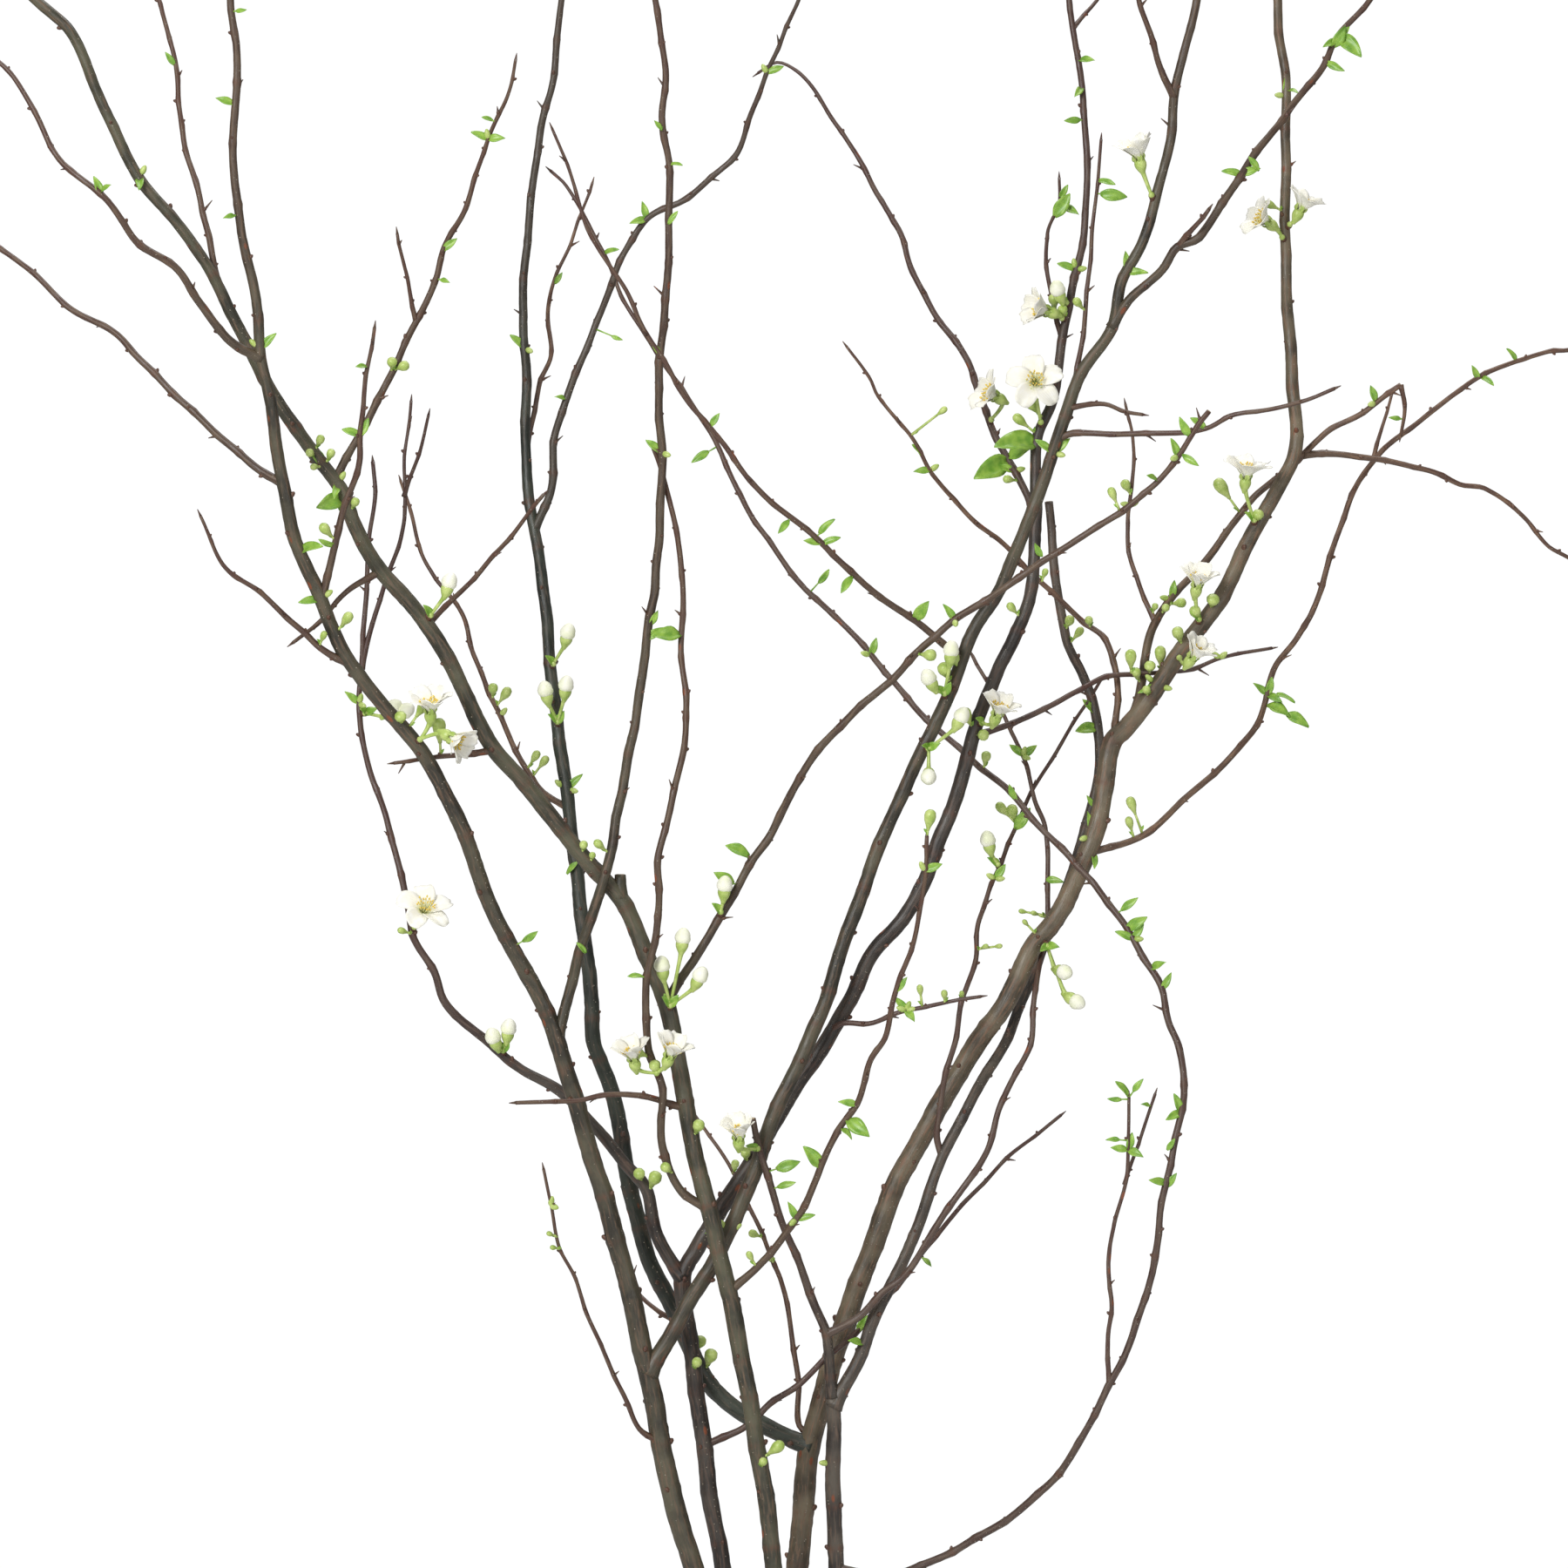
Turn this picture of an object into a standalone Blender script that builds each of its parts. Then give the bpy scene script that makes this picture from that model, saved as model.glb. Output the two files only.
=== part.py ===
"""Flowering quince: five cut branches with blooms, buds and young leaves, standing in a glass vase.

Metres, +Z up, origin at the centre of the vase's underside. Stems are tubes along hand-laid routes,
and each branch is one body of wood with the leaf tufts and green buds that sit straight on it.
"""

import math
import random

import bmesh
import bpy
import numpy as np
from mathutils import Vector

MM = 0.001
GAP = 0.3

VASE_HEIGHT = 360
VASE_RADIUS = 68
VASE_WALL = 6
VASE_FLOOR = 14
VASE_FOOT_CHAMFER = 4
WATER_LEVEL = 235
STEM_FOOT = VASE_FLOOR + 1.2

# Routes give x and height in millimetres, the height above this level, as an eye in front sees them.
ROUTE_LEVEL = 420
EYE_HEIGHT = 870
EYE_DISTANCE = 3000

BLADE = 0.7
CLEAR_OF_STEMS = 2.2
BEND_REACH = 50

for old in list(bpy.data.objects):
    bpy.data.objects.remove(old, do_unlink=True)

part = bpy.data.collections.new("flowering_quince")
bpy.context.scene.collection.children.link(part)
cutters = bpy.data.collections.new("cutters")
bpy.context.scene.collection.children.link(cutters)


def material(name, colour, roughness, transmission=0.0):
    made = bpy.data.materials.new(name)
    made.use_nodes = True
    shader = made.node_tree.nodes["Principled BSDF"]
    shader.inputs["Base Color"].default_value = (*colour, 1)
    shader.inputs["Roughness"].default_value = roughness
    shader.inputs["Metallic"].default_value = 0
    shader.inputs["Transmission Weight"].default_value = transmission
    return made


BARK = material("bark", (0.09, 0.065, 0.045), 0.75)
GREEN = material("young_green", (0.32, 0.42, 0.08), 0.5)
IVORY = material("petal", (0.9, 0.87, 0.74), 0.55)
CREAM = material("closed_bud", (0.85, 0.82, 0.6), 0.5)
YELLOW = material("stamen", (0.85, 0.62, 0.12), 0.6)
GLASS = material("glass", (0.95, 0.98, 0.97), 0.03, 1)
WATER = material("water", (0.95, 0.98, 1.0), 0.02, 1)


def seen(x, height, depth):
    """The point at this depth behind the vase's axis that an eye in front sees at x and height."""
    reach = 1 + depth / EYE_DISTANCE
    level = EYE_HEIGHT + (ROUTE_LEVEL + height - EYE_HEIGHT) * reach
    return Vector((x * reach, depth, level)) * MM


def mesh_object(name, mesh, surface, home=part):
    made = bpy.data.objects.new(name, mesh)
    mesh.materials.clear()
    mesh.materials.append(surface)
    home.objects.link(made)
    return made


def from_bmesh(name, shape, surface, home=part):
    mesh = bpy.data.meshes.new(name)
    shape.to_mesh(mesh)
    shape.free()
    return mesh_object(name, mesh, surface, home)


def applied(made):
    """The object with its modifiers worked into its mesh."""
    bpy.context.view_layer.update()
    graph = bpy.context.evaluated_depsgraph_get()
    mesh = bpy.data.meshes.new_from_object(made.evaluated_get(graph))
    made.modifiers.clear()
    made.data = mesh
    return made


def tube(name, points, radii, surface, home=part, rings=0):
    """A round tube through these points, as a closed mesh."""
    curve = bpy.data.curves.new(name, "CURVE")
    curve.dimensions = "3D"
    curve.bevel_depth = 1
    curve.bevel_resolution = rings
    curve.use_fill_caps = True
    line = curve.splines.new("POLY")
    line.points.add(len(points) - 1)
    for spot, place, radius in zip(line.points, points, radii):
        spot.co = (*place, 1)
        spot.radius = radius * MM
    drawn = bpy.data.objects.new(name, curve)
    home.objects.link(drawn)
    bpy.context.view_layer.update()
    graph = bpy.context.evaluated_depsgraph_get()
    mesh = bpy.data.meshes.new_from_object(drawn.evaluated_get(graph))
    shape = bmesh.new()
    shape.from_mesh(mesh)
    bmesh.ops.remove_doubles(shape, verts=shape.verts, dist=0.00001)
    bmesh.ops.recalc_face_normals(shape, faces=shape.faces)
    bpy.data.objects.remove(drawn, do_unlink=True)
    return from_bmesh(name, shape, surface, home)


def fused(name, pieces, surface):
    """One body made of these overlapping pieces."""
    first = pieces[0]
    rest = bpy.data.collections.new(name + "_pieces")
    bpy.context.scene.collection.children.link(rest)
    for piece in pieces[1:]:
        part.objects.unlink(piece)
        rest.objects.link(piece)
    if len(pieces) > 1:
        join = first.modifiers.new("join", "BOOLEAN")
        join.operation = "UNION"
        join.operand_type = "COLLECTION"
        join.collection = rest
        join.solver = "MANIFOLD"
        applied(first)
    for piece in list(rest.objects):
        bpy.data.objects.remove(piece, do_unlink=True)
    bpy.data.collections.remove(rest)
    first.name = name
    first.data.materials.clear()
    first.data.materials.append(surface)
    return first


# Stem routes: each is laid by hand, root to tip, as (x, height) in millimetres
stems = {}


def along(points):
    steps = np.linalg.norm(np.diff(points, axis=0), axis=1)
    return np.concatenate([[0], np.cumsum(steps)])


def nearest(stem, x, height):
    """Where on a stem's centreline this place is: its x, height, depth and radius there."""
    best = None
    for i in range(len(stem["flat"]) - 1):
        a = stem["flat"][i]
        b = stem["flat"][i + 1]
        span = b - a
        share = float(np.clip(np.dot(np.array((x, height)) - a, span) / np.dot(span, span), 0, 1))
        spot = a + span * share
        off = math.hypot(x - spot[0], height - spot[1])
        if best is None or off < best[0]:
            depth = stem["depth"][i] + (stem["depth"][i + 1] - stem["depth"][i]) * share
            radius = stem["radius"][i] + (stem["radius"][i + 1] - stem["radius"][i]) * share
            best = (off, spot[0], spot[1], depth, radius)
    return best[1:]


def samples(stem, count=5):
    """Spots along a stem: flat place, depth and radius, with the distance along it."""
    run = along(stem["flat"])
    starts = [np.linspace(a, b, count, endpoint=False) for a, b in zip(run, run[1:])]
    at = np.append(np.concatenate(starts), run[-1])
    flat = np.stack([np.interp(at, run, stem["flat"][:, k]) for k in (0, 1)], axis=1)
    return at, flat, np.interp(at, run, stem["depth"]), np.interp(at, run, stem["radius"])


def bend_clear(stem):
    """Shifts a stem in depth wherever it would run through a stem of another branch."""
    others = [samples(other) for other in stems.values() if other["branch"] != stem["branch"]]
    if not others:
        return
    spots = np.concatenate([other[1] for other in others])
    depths = np.concatenate([other[2] for other in others])
    radii = np.concatenate([other[3] for other in others])
    run = along(stem["flat"])
    rooted = np.clip(run / 12, 0, 1) if stem["rooted"] else np.ones(len(run))
    side = None
    for _ in range(30):
        at, flat, depth, radius = samples(stem)
        away = np.linalg.norm(flat[:, None] - spots[None], axis=2)
        need = radius[:, None] + radii[None] + CLEAR_OF_STEMS
        between = depth[:, None] - depths[None]
        if side is None:
            side = np.where(between < 0, -1.0, 1.0)
        wanted = np.sqrt(np.clip(need**2 - away**2, 0, None))
        push = np.where(away < need, side * np.clip(wanted - side * between, 0, None), 0)
        if np.abs(push).max() < 0.05:
            break
        pick = np.abs(push).argmax(axis=1)
        shift = push[np.arange(len(at)), pick]
        worst = np.abs(shift).argmax()
        fall = np.clip(1 - np.abs(run - at[worst]) / BEND_REACH, 0, 1)
        reach = np.interp(at[worst], run, fall * rooted)
        stem["depth"] = stem["depth"] + shift[worst] * fall * rooted / max(reach, 0.25)


def grow(name, branch, parent, radius, depth, route, rings=0, foot=None):
    """Lays one stem. Its radius and depth run evenly through the values given, from root to tip."""
    flat = np.array(route, float)
    root_depth = depth[0]
    if parent:
        x, height, root_depth, _ = nearest(stems[parent], *route[0])
        flat[0] = (x, height)
    run = along(flat)
    values = [root_depth, *depth[1:]]
    stem = {
        "branch": branch,
        "flat": flat,
        "depth": np.interp(run, np.linspace(0, run[-1], len(values)), values),
        "radius": np.interp(run, np.linspace(0, run[-1], len(radius)), radius),
        "rings": rings,
        "rooted": parent is not None,
        "foot": foot,
    }
    bend_clear(stem)
    stems[name] = stem


# Branch 3, whose main stem passes in front at the bottom
grow("c", 3, None, (4.9, 5.0, 4.8, 4.4, 3.2, 3.0), (-34, -34, -26, -42, -66, -84), [
    (-6, 0), (-16, 74), (-28, 140), (-40, 194), (-46, 216), (-56, 262), (-62, 300), (-68, 324),
    (-81, 357), (-94, 384), (-122, 416), (-150, 452), (-167, 470), (-184, 504), (-205, 542),
    (-232, 573), (-247, 600), (-255, 620), (-284, 659), (-304, 694), (-324, 734), (-339, 760),
    (-370, 798), (-389, 835), (-408, 879), (-429, 900), (-450, 922)], rings=1, foot=(12, -34))

# Branch 1, left of the others at the bottom
grow("a", 1, None, (5.9, 5.6, 4.6, 4.2, 3.6, 2.2, 2.0), (-14, -16, -30, -62, -92, -116, -134), [
    (-52, 0), (-64, 40), (-72, 80), (-78, 111), (-89, 160), (-100, 202), (-116, 255), (-130, 302),
    (-144, 335), (-164, 370), (-189, 434), (-210, 471), (-249, 519), (-265, 554), (-280, 589),
    (-288, 624), (-294, 664), (-300, 695), (-304, 734), (-312, 770), (-316, 808), (-314, 872),
    (-318, 900), (-317, 975)], rings=1, foot=(38, -14))
grow("a_right", 1, "a", (4.6, 4.4, 4.0, 3.8, 3.6, 2.8, 2.0), (-14, -12, -6, -12, -32, -52, -64), [
    (-78, 111), (-66, 132), (-54, 154), (-43, 170), (-32, 193), (-18, 224), (-8, 254), (14, 302),
    (22, 320), (30, 346), (40, 374), (51, 405), (72, 454), (86, 482), (97, 508), (110, 540),
    (126, 566), (143, 609), (152, 632), (162, 664), (171, 686), (188, 712), (194, 738), (206, 762),
    (221, 816), (224, 844), (230, 872), (237, 900), (246, 950)], rings=1)
grow("a_mid", 1, "a", (3.2, 2.6, 2.2, 1.6), (0, -30, -44, -66, -90), [
    (-130, 302), (-122, 336), (-112, 370), (-102, 399), (-96, 431), (-83, 500), (-79, 533),
    (-74, 565), (-70, 632), (-72, 680), (-67, 740), (-66, 804), (-70, 833), (-68, 860), (-74, 900),
    (-78, 940)])

# Branch 2, behind branch 1
grow("b", 2, None, (4.8, 4.8, 4.4, 4.2, 3.4, 2.0, 1.7), (4, 6, 12, 20, 34, 54, 72), [
    (-35, 0), (-41, 32), (-46, 70), (-52, 116), (-58, 166), (-50, 184), (-41, 198), (-26, 222),
    (-4, 258), (9, 280), (24, 302), (38, 326), (49, 350), (66, 370), (80, 392), (88, 416),
    (97, 436), (108, 476), (122, 514), (133, 535), (141, 558), (145, 605), (144, 626), (146, 650),
    (154, 670), (162, 718), (173, 774), (172, 842), (167, 875), (164, 900), (160, 945)],
    rings=1, foot=(27, 4))
grow("b_left", 2, "b", (4.0, 3.0, 1.9, 1.6, 1.2), (4, 2, -4, 16, 44), [
    (-58, 166), (-74, 193), (-79, 218), (-92, 233), (-118, 264), (-131, 275), (-150, 286),
    (-168, 300), (-194, 324), (-201, 342), (-212, 361), (-216, 380), (-228, 430), (-238, 458),
    (-244, 496), (-242, 524), (-238, 590), (-235, 615), (-236, 635)])

# Branch 4, the thickest, grey brown
grow("d", 4, None, (6.4, 6.2, 5.8, 5.6, 4.4, 3.0, 2.6), (26, 24, 32, 50, 72, 92, 108), [
    (8, 0), (14, 64), (26, 112), (34, 138), (44, 166), (66, 224), (82, 252), (97, 279), (110, 300),
    (126, 322), (141, 353), (154, 370), (166, 392), (177, 418), (184, 447), (188, 474), (196, 482),
    (208, 496), (222, 518), (250, 556), (272, 600), (284, 620), (292, 636), (294, 652), (292, 680),
    (288, 747), (288, 814), (288, 852), (284, 884), (281, 950)], rings=1, foot=(-40, 26))
grow("d_left", 4, "d", (5.0, 4.8, 4.0, 3.4, 2.4, 1.8), (26, 28, 32, 62, 98, 126), [
    (14, 70), (-8, 80), (-26, 90), (-42, 105), (-55, 128), (-66, 154), (-78, 178), (-85, 204),
    (-92, 237), (-98, 272), (-109, 300), (-110, 322), (-118, 390), (-125, 447), (-133, 508),
    (-138, 562), (-144, 600), (-148, 632), (-148, 690), (-150, 718), (-148, 756), (-140, 824),
    (-133, 852), (-128, 900), (-124, 940)], rings=1)

# Branch 5, on the right, which passes in front of branch 4 and then behind it
grow("e", 5, None, (4.6, 4.6, 4.2), (14, 8, 2), [
    (30, 0), (28, 42), (29, 80), (28, 98)], rings=1, foot=(12, 32))
grow("e_right", 5, "e", (4.0, 3.2, 3.0, 3.0, 2.6), (0, 4, 8, 62, 92, 100, 104), [
    (28, 92), (42, 118), (51, 141), (62, 164), (76, 193), (86, 224), (106, 266), (126, 300),
    (137, 326), (144, 344), (156, 375), (168, 408), (176, 435), (181, 460), (180, 485), (171, 514),
    (162, 533), (155, 577), (152, 612)])

# Twigs of branch 3
grow("c_mid", 3, "c", (2.4, 2.0, 1.5), (0, -50, -62, -34, -44), [
    (-46, 205), (-60, 218), (-70, 242), (-70, 275), (-78, 300), (-79, 334), (-72, 374), (-72, 408),
    (-64, 441), (-56, 485), (-59, 529), (-58, 566), (-63, 600), (-70, 630), (-76, 646)])
grow("c_right", 3, "c", (2.6, 2.2, 2.0, 1.5), (0, -34, -62, -88, -108), [
    (-66, 324), (-54, 346), (-41, 366), (-18, 406), (-6, 424), (9, 454), (22, 472), (36, 487),
    (66, 514), (80, 529), (98, 544), (135, 568), (150, 579), (184, 600), (211, 620), (226, 638),
    (236, 653), (244, 664)])
grow("c_low_right", 3, "c", (2.2, 1.8, 1.2), (0, -62, -92), [
    (-31, 158), (-16, 172), (7, 200), (18, 222), (30, 250), (42, 266), (49, 290), (58, 304),
    (62, 324), (76, 366), (82, 408), (82, 420)])
grow("c_high_right", 3, "c", (2.4, 1.9, 1.0), (0, -18, 24), [
    (-255, 626), (-244, 650), (-232, 672), (-211, 716), (-200, 738), (-196, 756), (-184, 778),
    (-170, 820), (-159, 844), (-154, 866)])
grow("c_high_twig", 3, "c_high_right", (1.3, 0.9), (0, -44), [(-212, 716), (-216, 738), (-222, 766)])
grow("c_thin", 3, "c", (1.9, 1.5, 1.2), (0, -40, -16), [
    (-324, 734), (-335, 785), (-345, 822), (-350, 868), (-359, 900), (-364, 925)])
grow("c_thorn_high", 3, "c", (1.9, 1.0), (0, -62), [(-232, 572), (-249, 562), (-266, 544), (-282, 531)])
grow("c_thorn_low", 3, "c", (1.9, 1.0), (0, -58), [(-167, 469), (-192, 466), (-212, 464), (-224, 462)])
grow("c_cross_twig", 3, "c", (1.7, 1.2), (0, 4), [
    (-203, 542), (-182, 564), (-170, 577), (-157, 592), (-138, 616)])
grow("c_left_twig", 3, "c", (1.9, 1.1), (0, -64),
     [(-56, 264), (-78, 270), (-102, 272), (-120, 268), (-154, 267)])
grow("c_stub", 3, "c", (3.6, 3.2), (0, -26), [(-94, 384), (-94, 398)])

# Twigs of branch 1
grow("a_right_fork", 1, "a_right", (2.8, 2.2, 1.5), (0, -62, -34, -22), [
    (188, 712), (200, 730), (217, 745), (226, 758), (238, 764), (268, 808), (284, 829), (292, 840),
    (307, 858), (318, 879), (336, 900), (352, 925)])
grow("a_right_stub", 1, "a_right_fork", (1.6, 1.2), (0, -72), [(226, 758), (235, 769), (244, 780)])
grow("a_top_twig", 1, "a_right", (1.9, 1.3), (0, -84),
     [(224, 844), (215, 864), (210, 881), (204, 900), (200, 922)])
grow("a_level_twig", 1, "a_right", (1.8, 1.1), (0, -60, -84), [
    (156, 648), (166, 651), (211, 651), (242, 654), (259, 662), (284, 666), (300, 670), (316, 677)])
grow("a_burl_twig", 1, "a_right", (1.6, 1.0), (0, -58), [(162, 666), (184, 668), (196, 664), (206, 662)])
grow("a_rise_twig", 1, "a_right", (1.6, 0.9), (0, -10), [(166, 675), (172, 712), (177, 766), (182, 820)])
grow("a_fan_upper", 1, "a_right", (2.2, 1.7, 1.4, 0.9), (0, -56, -88, -104), [
    (102, 522), (80, 540), (60, 554), (40, 570), (22, 588), (-18, 622), (-32, 642), (-54, 668),
    (-66, 688), (-83, 716), (-92, 736), (-112, 766), (-120, 793), (-133, 826)])
grow("a_left_high", 1, "a", (2.6, 2.0, 1.6, 1.2), (0, -134, -122), [
    (-300, 694), (-320, 706), (-335, 726), (-348, 745), (-372, 762), (-390, 787), (-414, 806),
    (-429, 833), (-442, 856), (-450, 864), (-474, 880)])
grow("a_left_low", 1, "a", (2.2, 1.9, 1.4), (0, -72, -40), [
    (-290, 622), (-306, 634), (-332, 657), (-346, 670), (-368, 692), (-383, 708), (-408, 722),
    (-431, 743), (-450, 758), (-470, 772)])
grow("a_left_twig", 1, "a", (2.0, 1.5, 0.9), (0, -104), [
    (-249, 518), (-266, 528), (-278, 539), (-301, 560), (-322, 576), (-335, 604)])
grow("a_up_twig", 1, "a", (2.2, 1.7, 1.0), (0, -92, -108), [
    (-265, 555), (-261, 572), (-255, 600), (-244, 634), (-243, 653), (-240, 682), (-235, 712)])
grow("a_foot_twig", 1, "a", (1.6, 1.2, 0.9), (0, -56, -82), [
    (-73, 72), (-83, 80), (-92, 99), (-111, 141), (-120, 166), (-129, 185), (-134, 208), (-138, 229)])

# Twigs of branch 2
grow("b_left_fork", 2, "b_left", (1.6, 1.2, 0.9), (0, 54), [
    (-243, 516), (-234, 550), (-218, 600), (-218, 632), (-214, 670)])
grow("b_left_fork_tip", 2, "b_left_fork", (1.2, 0.9), (0, 20), [(-217, 615), (-209, 642), (-204, 662)])
grow("b_arch", 2, "b", (2.2, 1.9, 1.6, 0.9), (0, 78, 112, 124), [
    (145, 600), (141, 613), (133, 628), (120, 653), (112, 674), (106, 692), (84, 724), (72, 749),
    (66, 768), (53, 789), (45, 806), (28, 831), (18, 848), (7, 859), (-4, 864), (-15, 858)])
grow("b_level_twig", 2, "b", (1.7, 1.0), (0, -14), [(24, 302), (32, 312), (51, 313), (70, 320), (113, 328)])
grow("b_foot_twig", 2, "b", (2.0, 1.6, 1.0), (0, 6, 40, 74), [
    (-46, 70), (-24, 80), (-8, 94), (9, 106), (24, 120), (42, 136), (56, 152), (70, 168), (89, 193),
    (128, 235), (150, 253), (159, 260)])
grow("b_long_twig", 2, "b", (1.9, 1.5, 1.0), (0, 50, 84), [
    (108, 476), (128, 484), (150, 493), (169, 504), (188, 512), (230, 515), (250, 522), (280, 528)])
grow("b_top_twig", 2, "b", (1.3, 1.0), (0, 88), [(167, 884), (178, 898), (186, 912)])
grow("b_side_twig", 2, "b", (1.5, 0.9), (0, 78), [(158, 705), (152, 738), (151, 766), (158, 782), (158, 798)])

# Twigs of branch 4
grow("d_left_fork", 4, "d_left", (2.4, 2.0, 1.7, 1.0), (0, 66, 46, 82), [
    (-143, 596), (-134, 617), (-131, 652), (-116, 694), (-106, 718), (-94, 750), (-79, 774),
    (-58, 785), (-37, 802), (-26, 814), (-18, 837), (-8, 862), (8, 900), (16, 925)])
grow("d_left_twig", 4, "d_left", (1.7, 1.3, 0.9), (0, 128, 140), [
    (-147, 640), (-140, 680), (-134, 696), (-135, 728), (-122, 762), (-110, 795)])
grow("d_left_low_twig", 4, "d_left", (1.9, 1.5, 1.0), (0, 84, 112), [
    (-124, 436), (-140, 447), (-150, 462), (-163, 489), (-178, 524), (-184, 546), (-201, 570),
    (-209, 584), (-214, 607), (-220, 624)])
grow("d_short_twig", 4, "d_left", (1.6, 1.0), (0, 58), [(-60, 141), (-74, 149), (-84, 158), (-89, 178)])
grow("d_up_twig", 4, "d", (1.8, 1.5, 1.0), (0, 52, 84), [
    (15, 76), (9, 82), (8, 108), (3, 143), (-2, 166), (-10, 185), (-18, 204), (-35, 237), (-54, 264)])
grow("d_dark", 4, "d", (2.8, 2.2, 1.6), (0, 98, 84), [
    (192, 478), (200, 489), (206, 512), (211, 539), (222, 556), (246, 583), (268, 613), (284, 626),
    (312, 652), (330, 662), (354, 679)])
grow("d_dark_hang", 4, "d_dark", (1.3, 1.0), (0, 92), [(354, 679), (356, 665), (354, 650)])
grow("d_far_right", 4, "d_dark", (2.0, 1.5, 1.1), (0, 112, 128), [
    (299, 638), (322, 639), (342, 636), (370, 630), (388, 622), (402, 620), (426, 602), (439, 586),
    (450, 580), (470, 570)])
grow("d_right", 4, "d", (2.0, 1.9, 1.7, 1.3), (0, 92, 128, 138), [
    (174, 410), (196, 416), (211, 424), (232, 443), (257, 466), (270, 482), (276, 496), (282, 518),
    (294, 533), (303, 548), (312, 575), (320, 600), (330, 624), (338, 635), (351, 648), (370, 662),
    (393, 680), (418, 692), (439, 698), (450, 699), (475, 706)])
grow("d_right_twig", 4, "d_right", (1.4, 0.9), (0, 150), [(338, 635), (345, 661), (349, 674)])
grow("d_cross_twig", 4, "d", (2.0, 1.7, 1.4, 0.9), (0, 84, 58, 40), [
    (190, 476), (191, 512), (184, 533), (171, 544), (143, 570), (130, 584), (104, 606), (84, 630),
    (72, 651), (54, 672), (49, 684), (36, 701)])
grow("d_dark_twig", 4, "d_dark", (1.6, 0.9), (0, 110), [
    (211, 544), (200, 575), (197, 600), (200, 622), (200, 651), (196, 668)])

# Twigs of branch 5
grow("e_left", 5, "e", (3.2, 2.2, 1.8), (0, -6, -26), [
    (28, 98), (24, 134), (18, 150), (9, 174), (1, 193), (-6, 214), (-12, 233), (-18, 258)])
grow("e_high_twig", 5, "e_left", (2.2, 1.8, 1.5, 1.1), (0, -14, 18, 66, 88), [
    (24, 134), (42, 143), (56, 158), (70, 168), (84, 191), (104, 220), (118, 242), (124, 266),
    (141, 300), (144, 332), (151, 370), (150, 425), (144, 441), (137, 466), (118, 506), (108, 524)])
grow("e_mid_twig", 5, "e_right", (1.8, 1.4, 1.0), (0, 8, 70, 100), [
    (89, 236), (88, 248), (91, 275), (98, 302), (102, 324), (110, 350), (112, 372), (130, 418),
    (141, 443), (162, 478), (182, 510)])
grow("e_droop", 5, "e", (2.2, 2.1, 2.0, 1.9, 1.8, 1.5, 1.0), (0, -38, -50, 16, 84, 108, 120), [
    (30, -4), (52, -4), (76, 0), (122, 24), (150, 46), (166, 66), (178, 88), (198, 128), (206, 152),
    (213, 176), (216, 204), (226, 252), (230, 277), (226, 300), (221, 313), (217, 332), (208, 348),
    (192, 374), (167, 405), (150, 422), (128, 447), (110, 462), (76, 493), (62, 510), (32, 544),
    (12, 562), (-16, 600), (-26, 617), (-37, 642), (-50, 664), (-68, 690), (-92, 728), (-104, 756),
    (-125, 793), (-134, 802)])
grow("e_droop_twig", 5, "e_droop", (1.5, 1.0), (0, -66), [
    (186, 106), (186, 134), (188, 152), (186, 178), (190, 198), (196, 222), (198, 246), (198, 270)])
grow("e_droop_twig_tip", 5, "e_droop_twig", (1.1, 0.9), (0, -40), [(196, 220), (206, 252), (213, 272)])


def foot_of(stem):
    """The cut end that rests on the vase's floor."""
    x, depth = stem["foot"]
    return Vector((x, depth, STEM_FOOT)) * MM


def centreline(stem):
    points = [seen(x, height, depth) for (x, height), depth in zip(stem["flat"], stem["depth"])]
    radii = list(stem["radius"])
    if stem["foot"]:
        points.insert(0, foot_of(stem))
        radii.insert(0, radii[0] + 0.5)
    return points, radii


# Small green things
def leaf(name, root, direction, length, width, home_side, columns=2):
    """A pointed blade folded a little along its midrib, as a thin closed plate."""
    shape = bmesh.new()
    bmesh.ops.create_grid(shape, x_segments=columns, y_segments=2, size=1)
    across = direction.cross(Vector(home_side)).normalized()
    up = across.cross(direction).normalized()
    for vert in shape.verts:
        share = (vert.co.y + 1) / 2
        half = width / 2 * (0.16, 1, 0.12)[round(share * 2)]
        side = vert.co.x * half
        lift = abs(vert.co.x) * half * 0.35 - share * share * length * 0.18
        vert.co = root + (direction * share * length + across * side + up * lift) * MM
    made = from_bmesh(name, shape, GREEN)
    plate = made.modifiers.new("plate", "SOLIDIFY")
    plate.thickness = BLADE * MM
    plate.offset = 0
    return applied(made)


def ball(name, centre, direction, length, width, surface, segments=5, rings=3):
    """An egg-shaped bud pointing along its direction."""
    shape = bmesh.new()
    bmesh.ops.create_uvsphere(shape, u_segments=segments, v_segments=rings, radius=1)
    turn = Vector((0, 0, 1)).rotation_difference(direction).to_matrix()
    for vert in shape.verts:
        taper = 1 - 0.2 * vert.co.z
        local = Vector((vert.co.x * width / 2 * taper, vert.co.y * width / 2 * taper, vert.co.z * length / 2))
        vert.co = centre + turn @ local * MM
    return from_bmesh(name, shape, surface)


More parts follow.
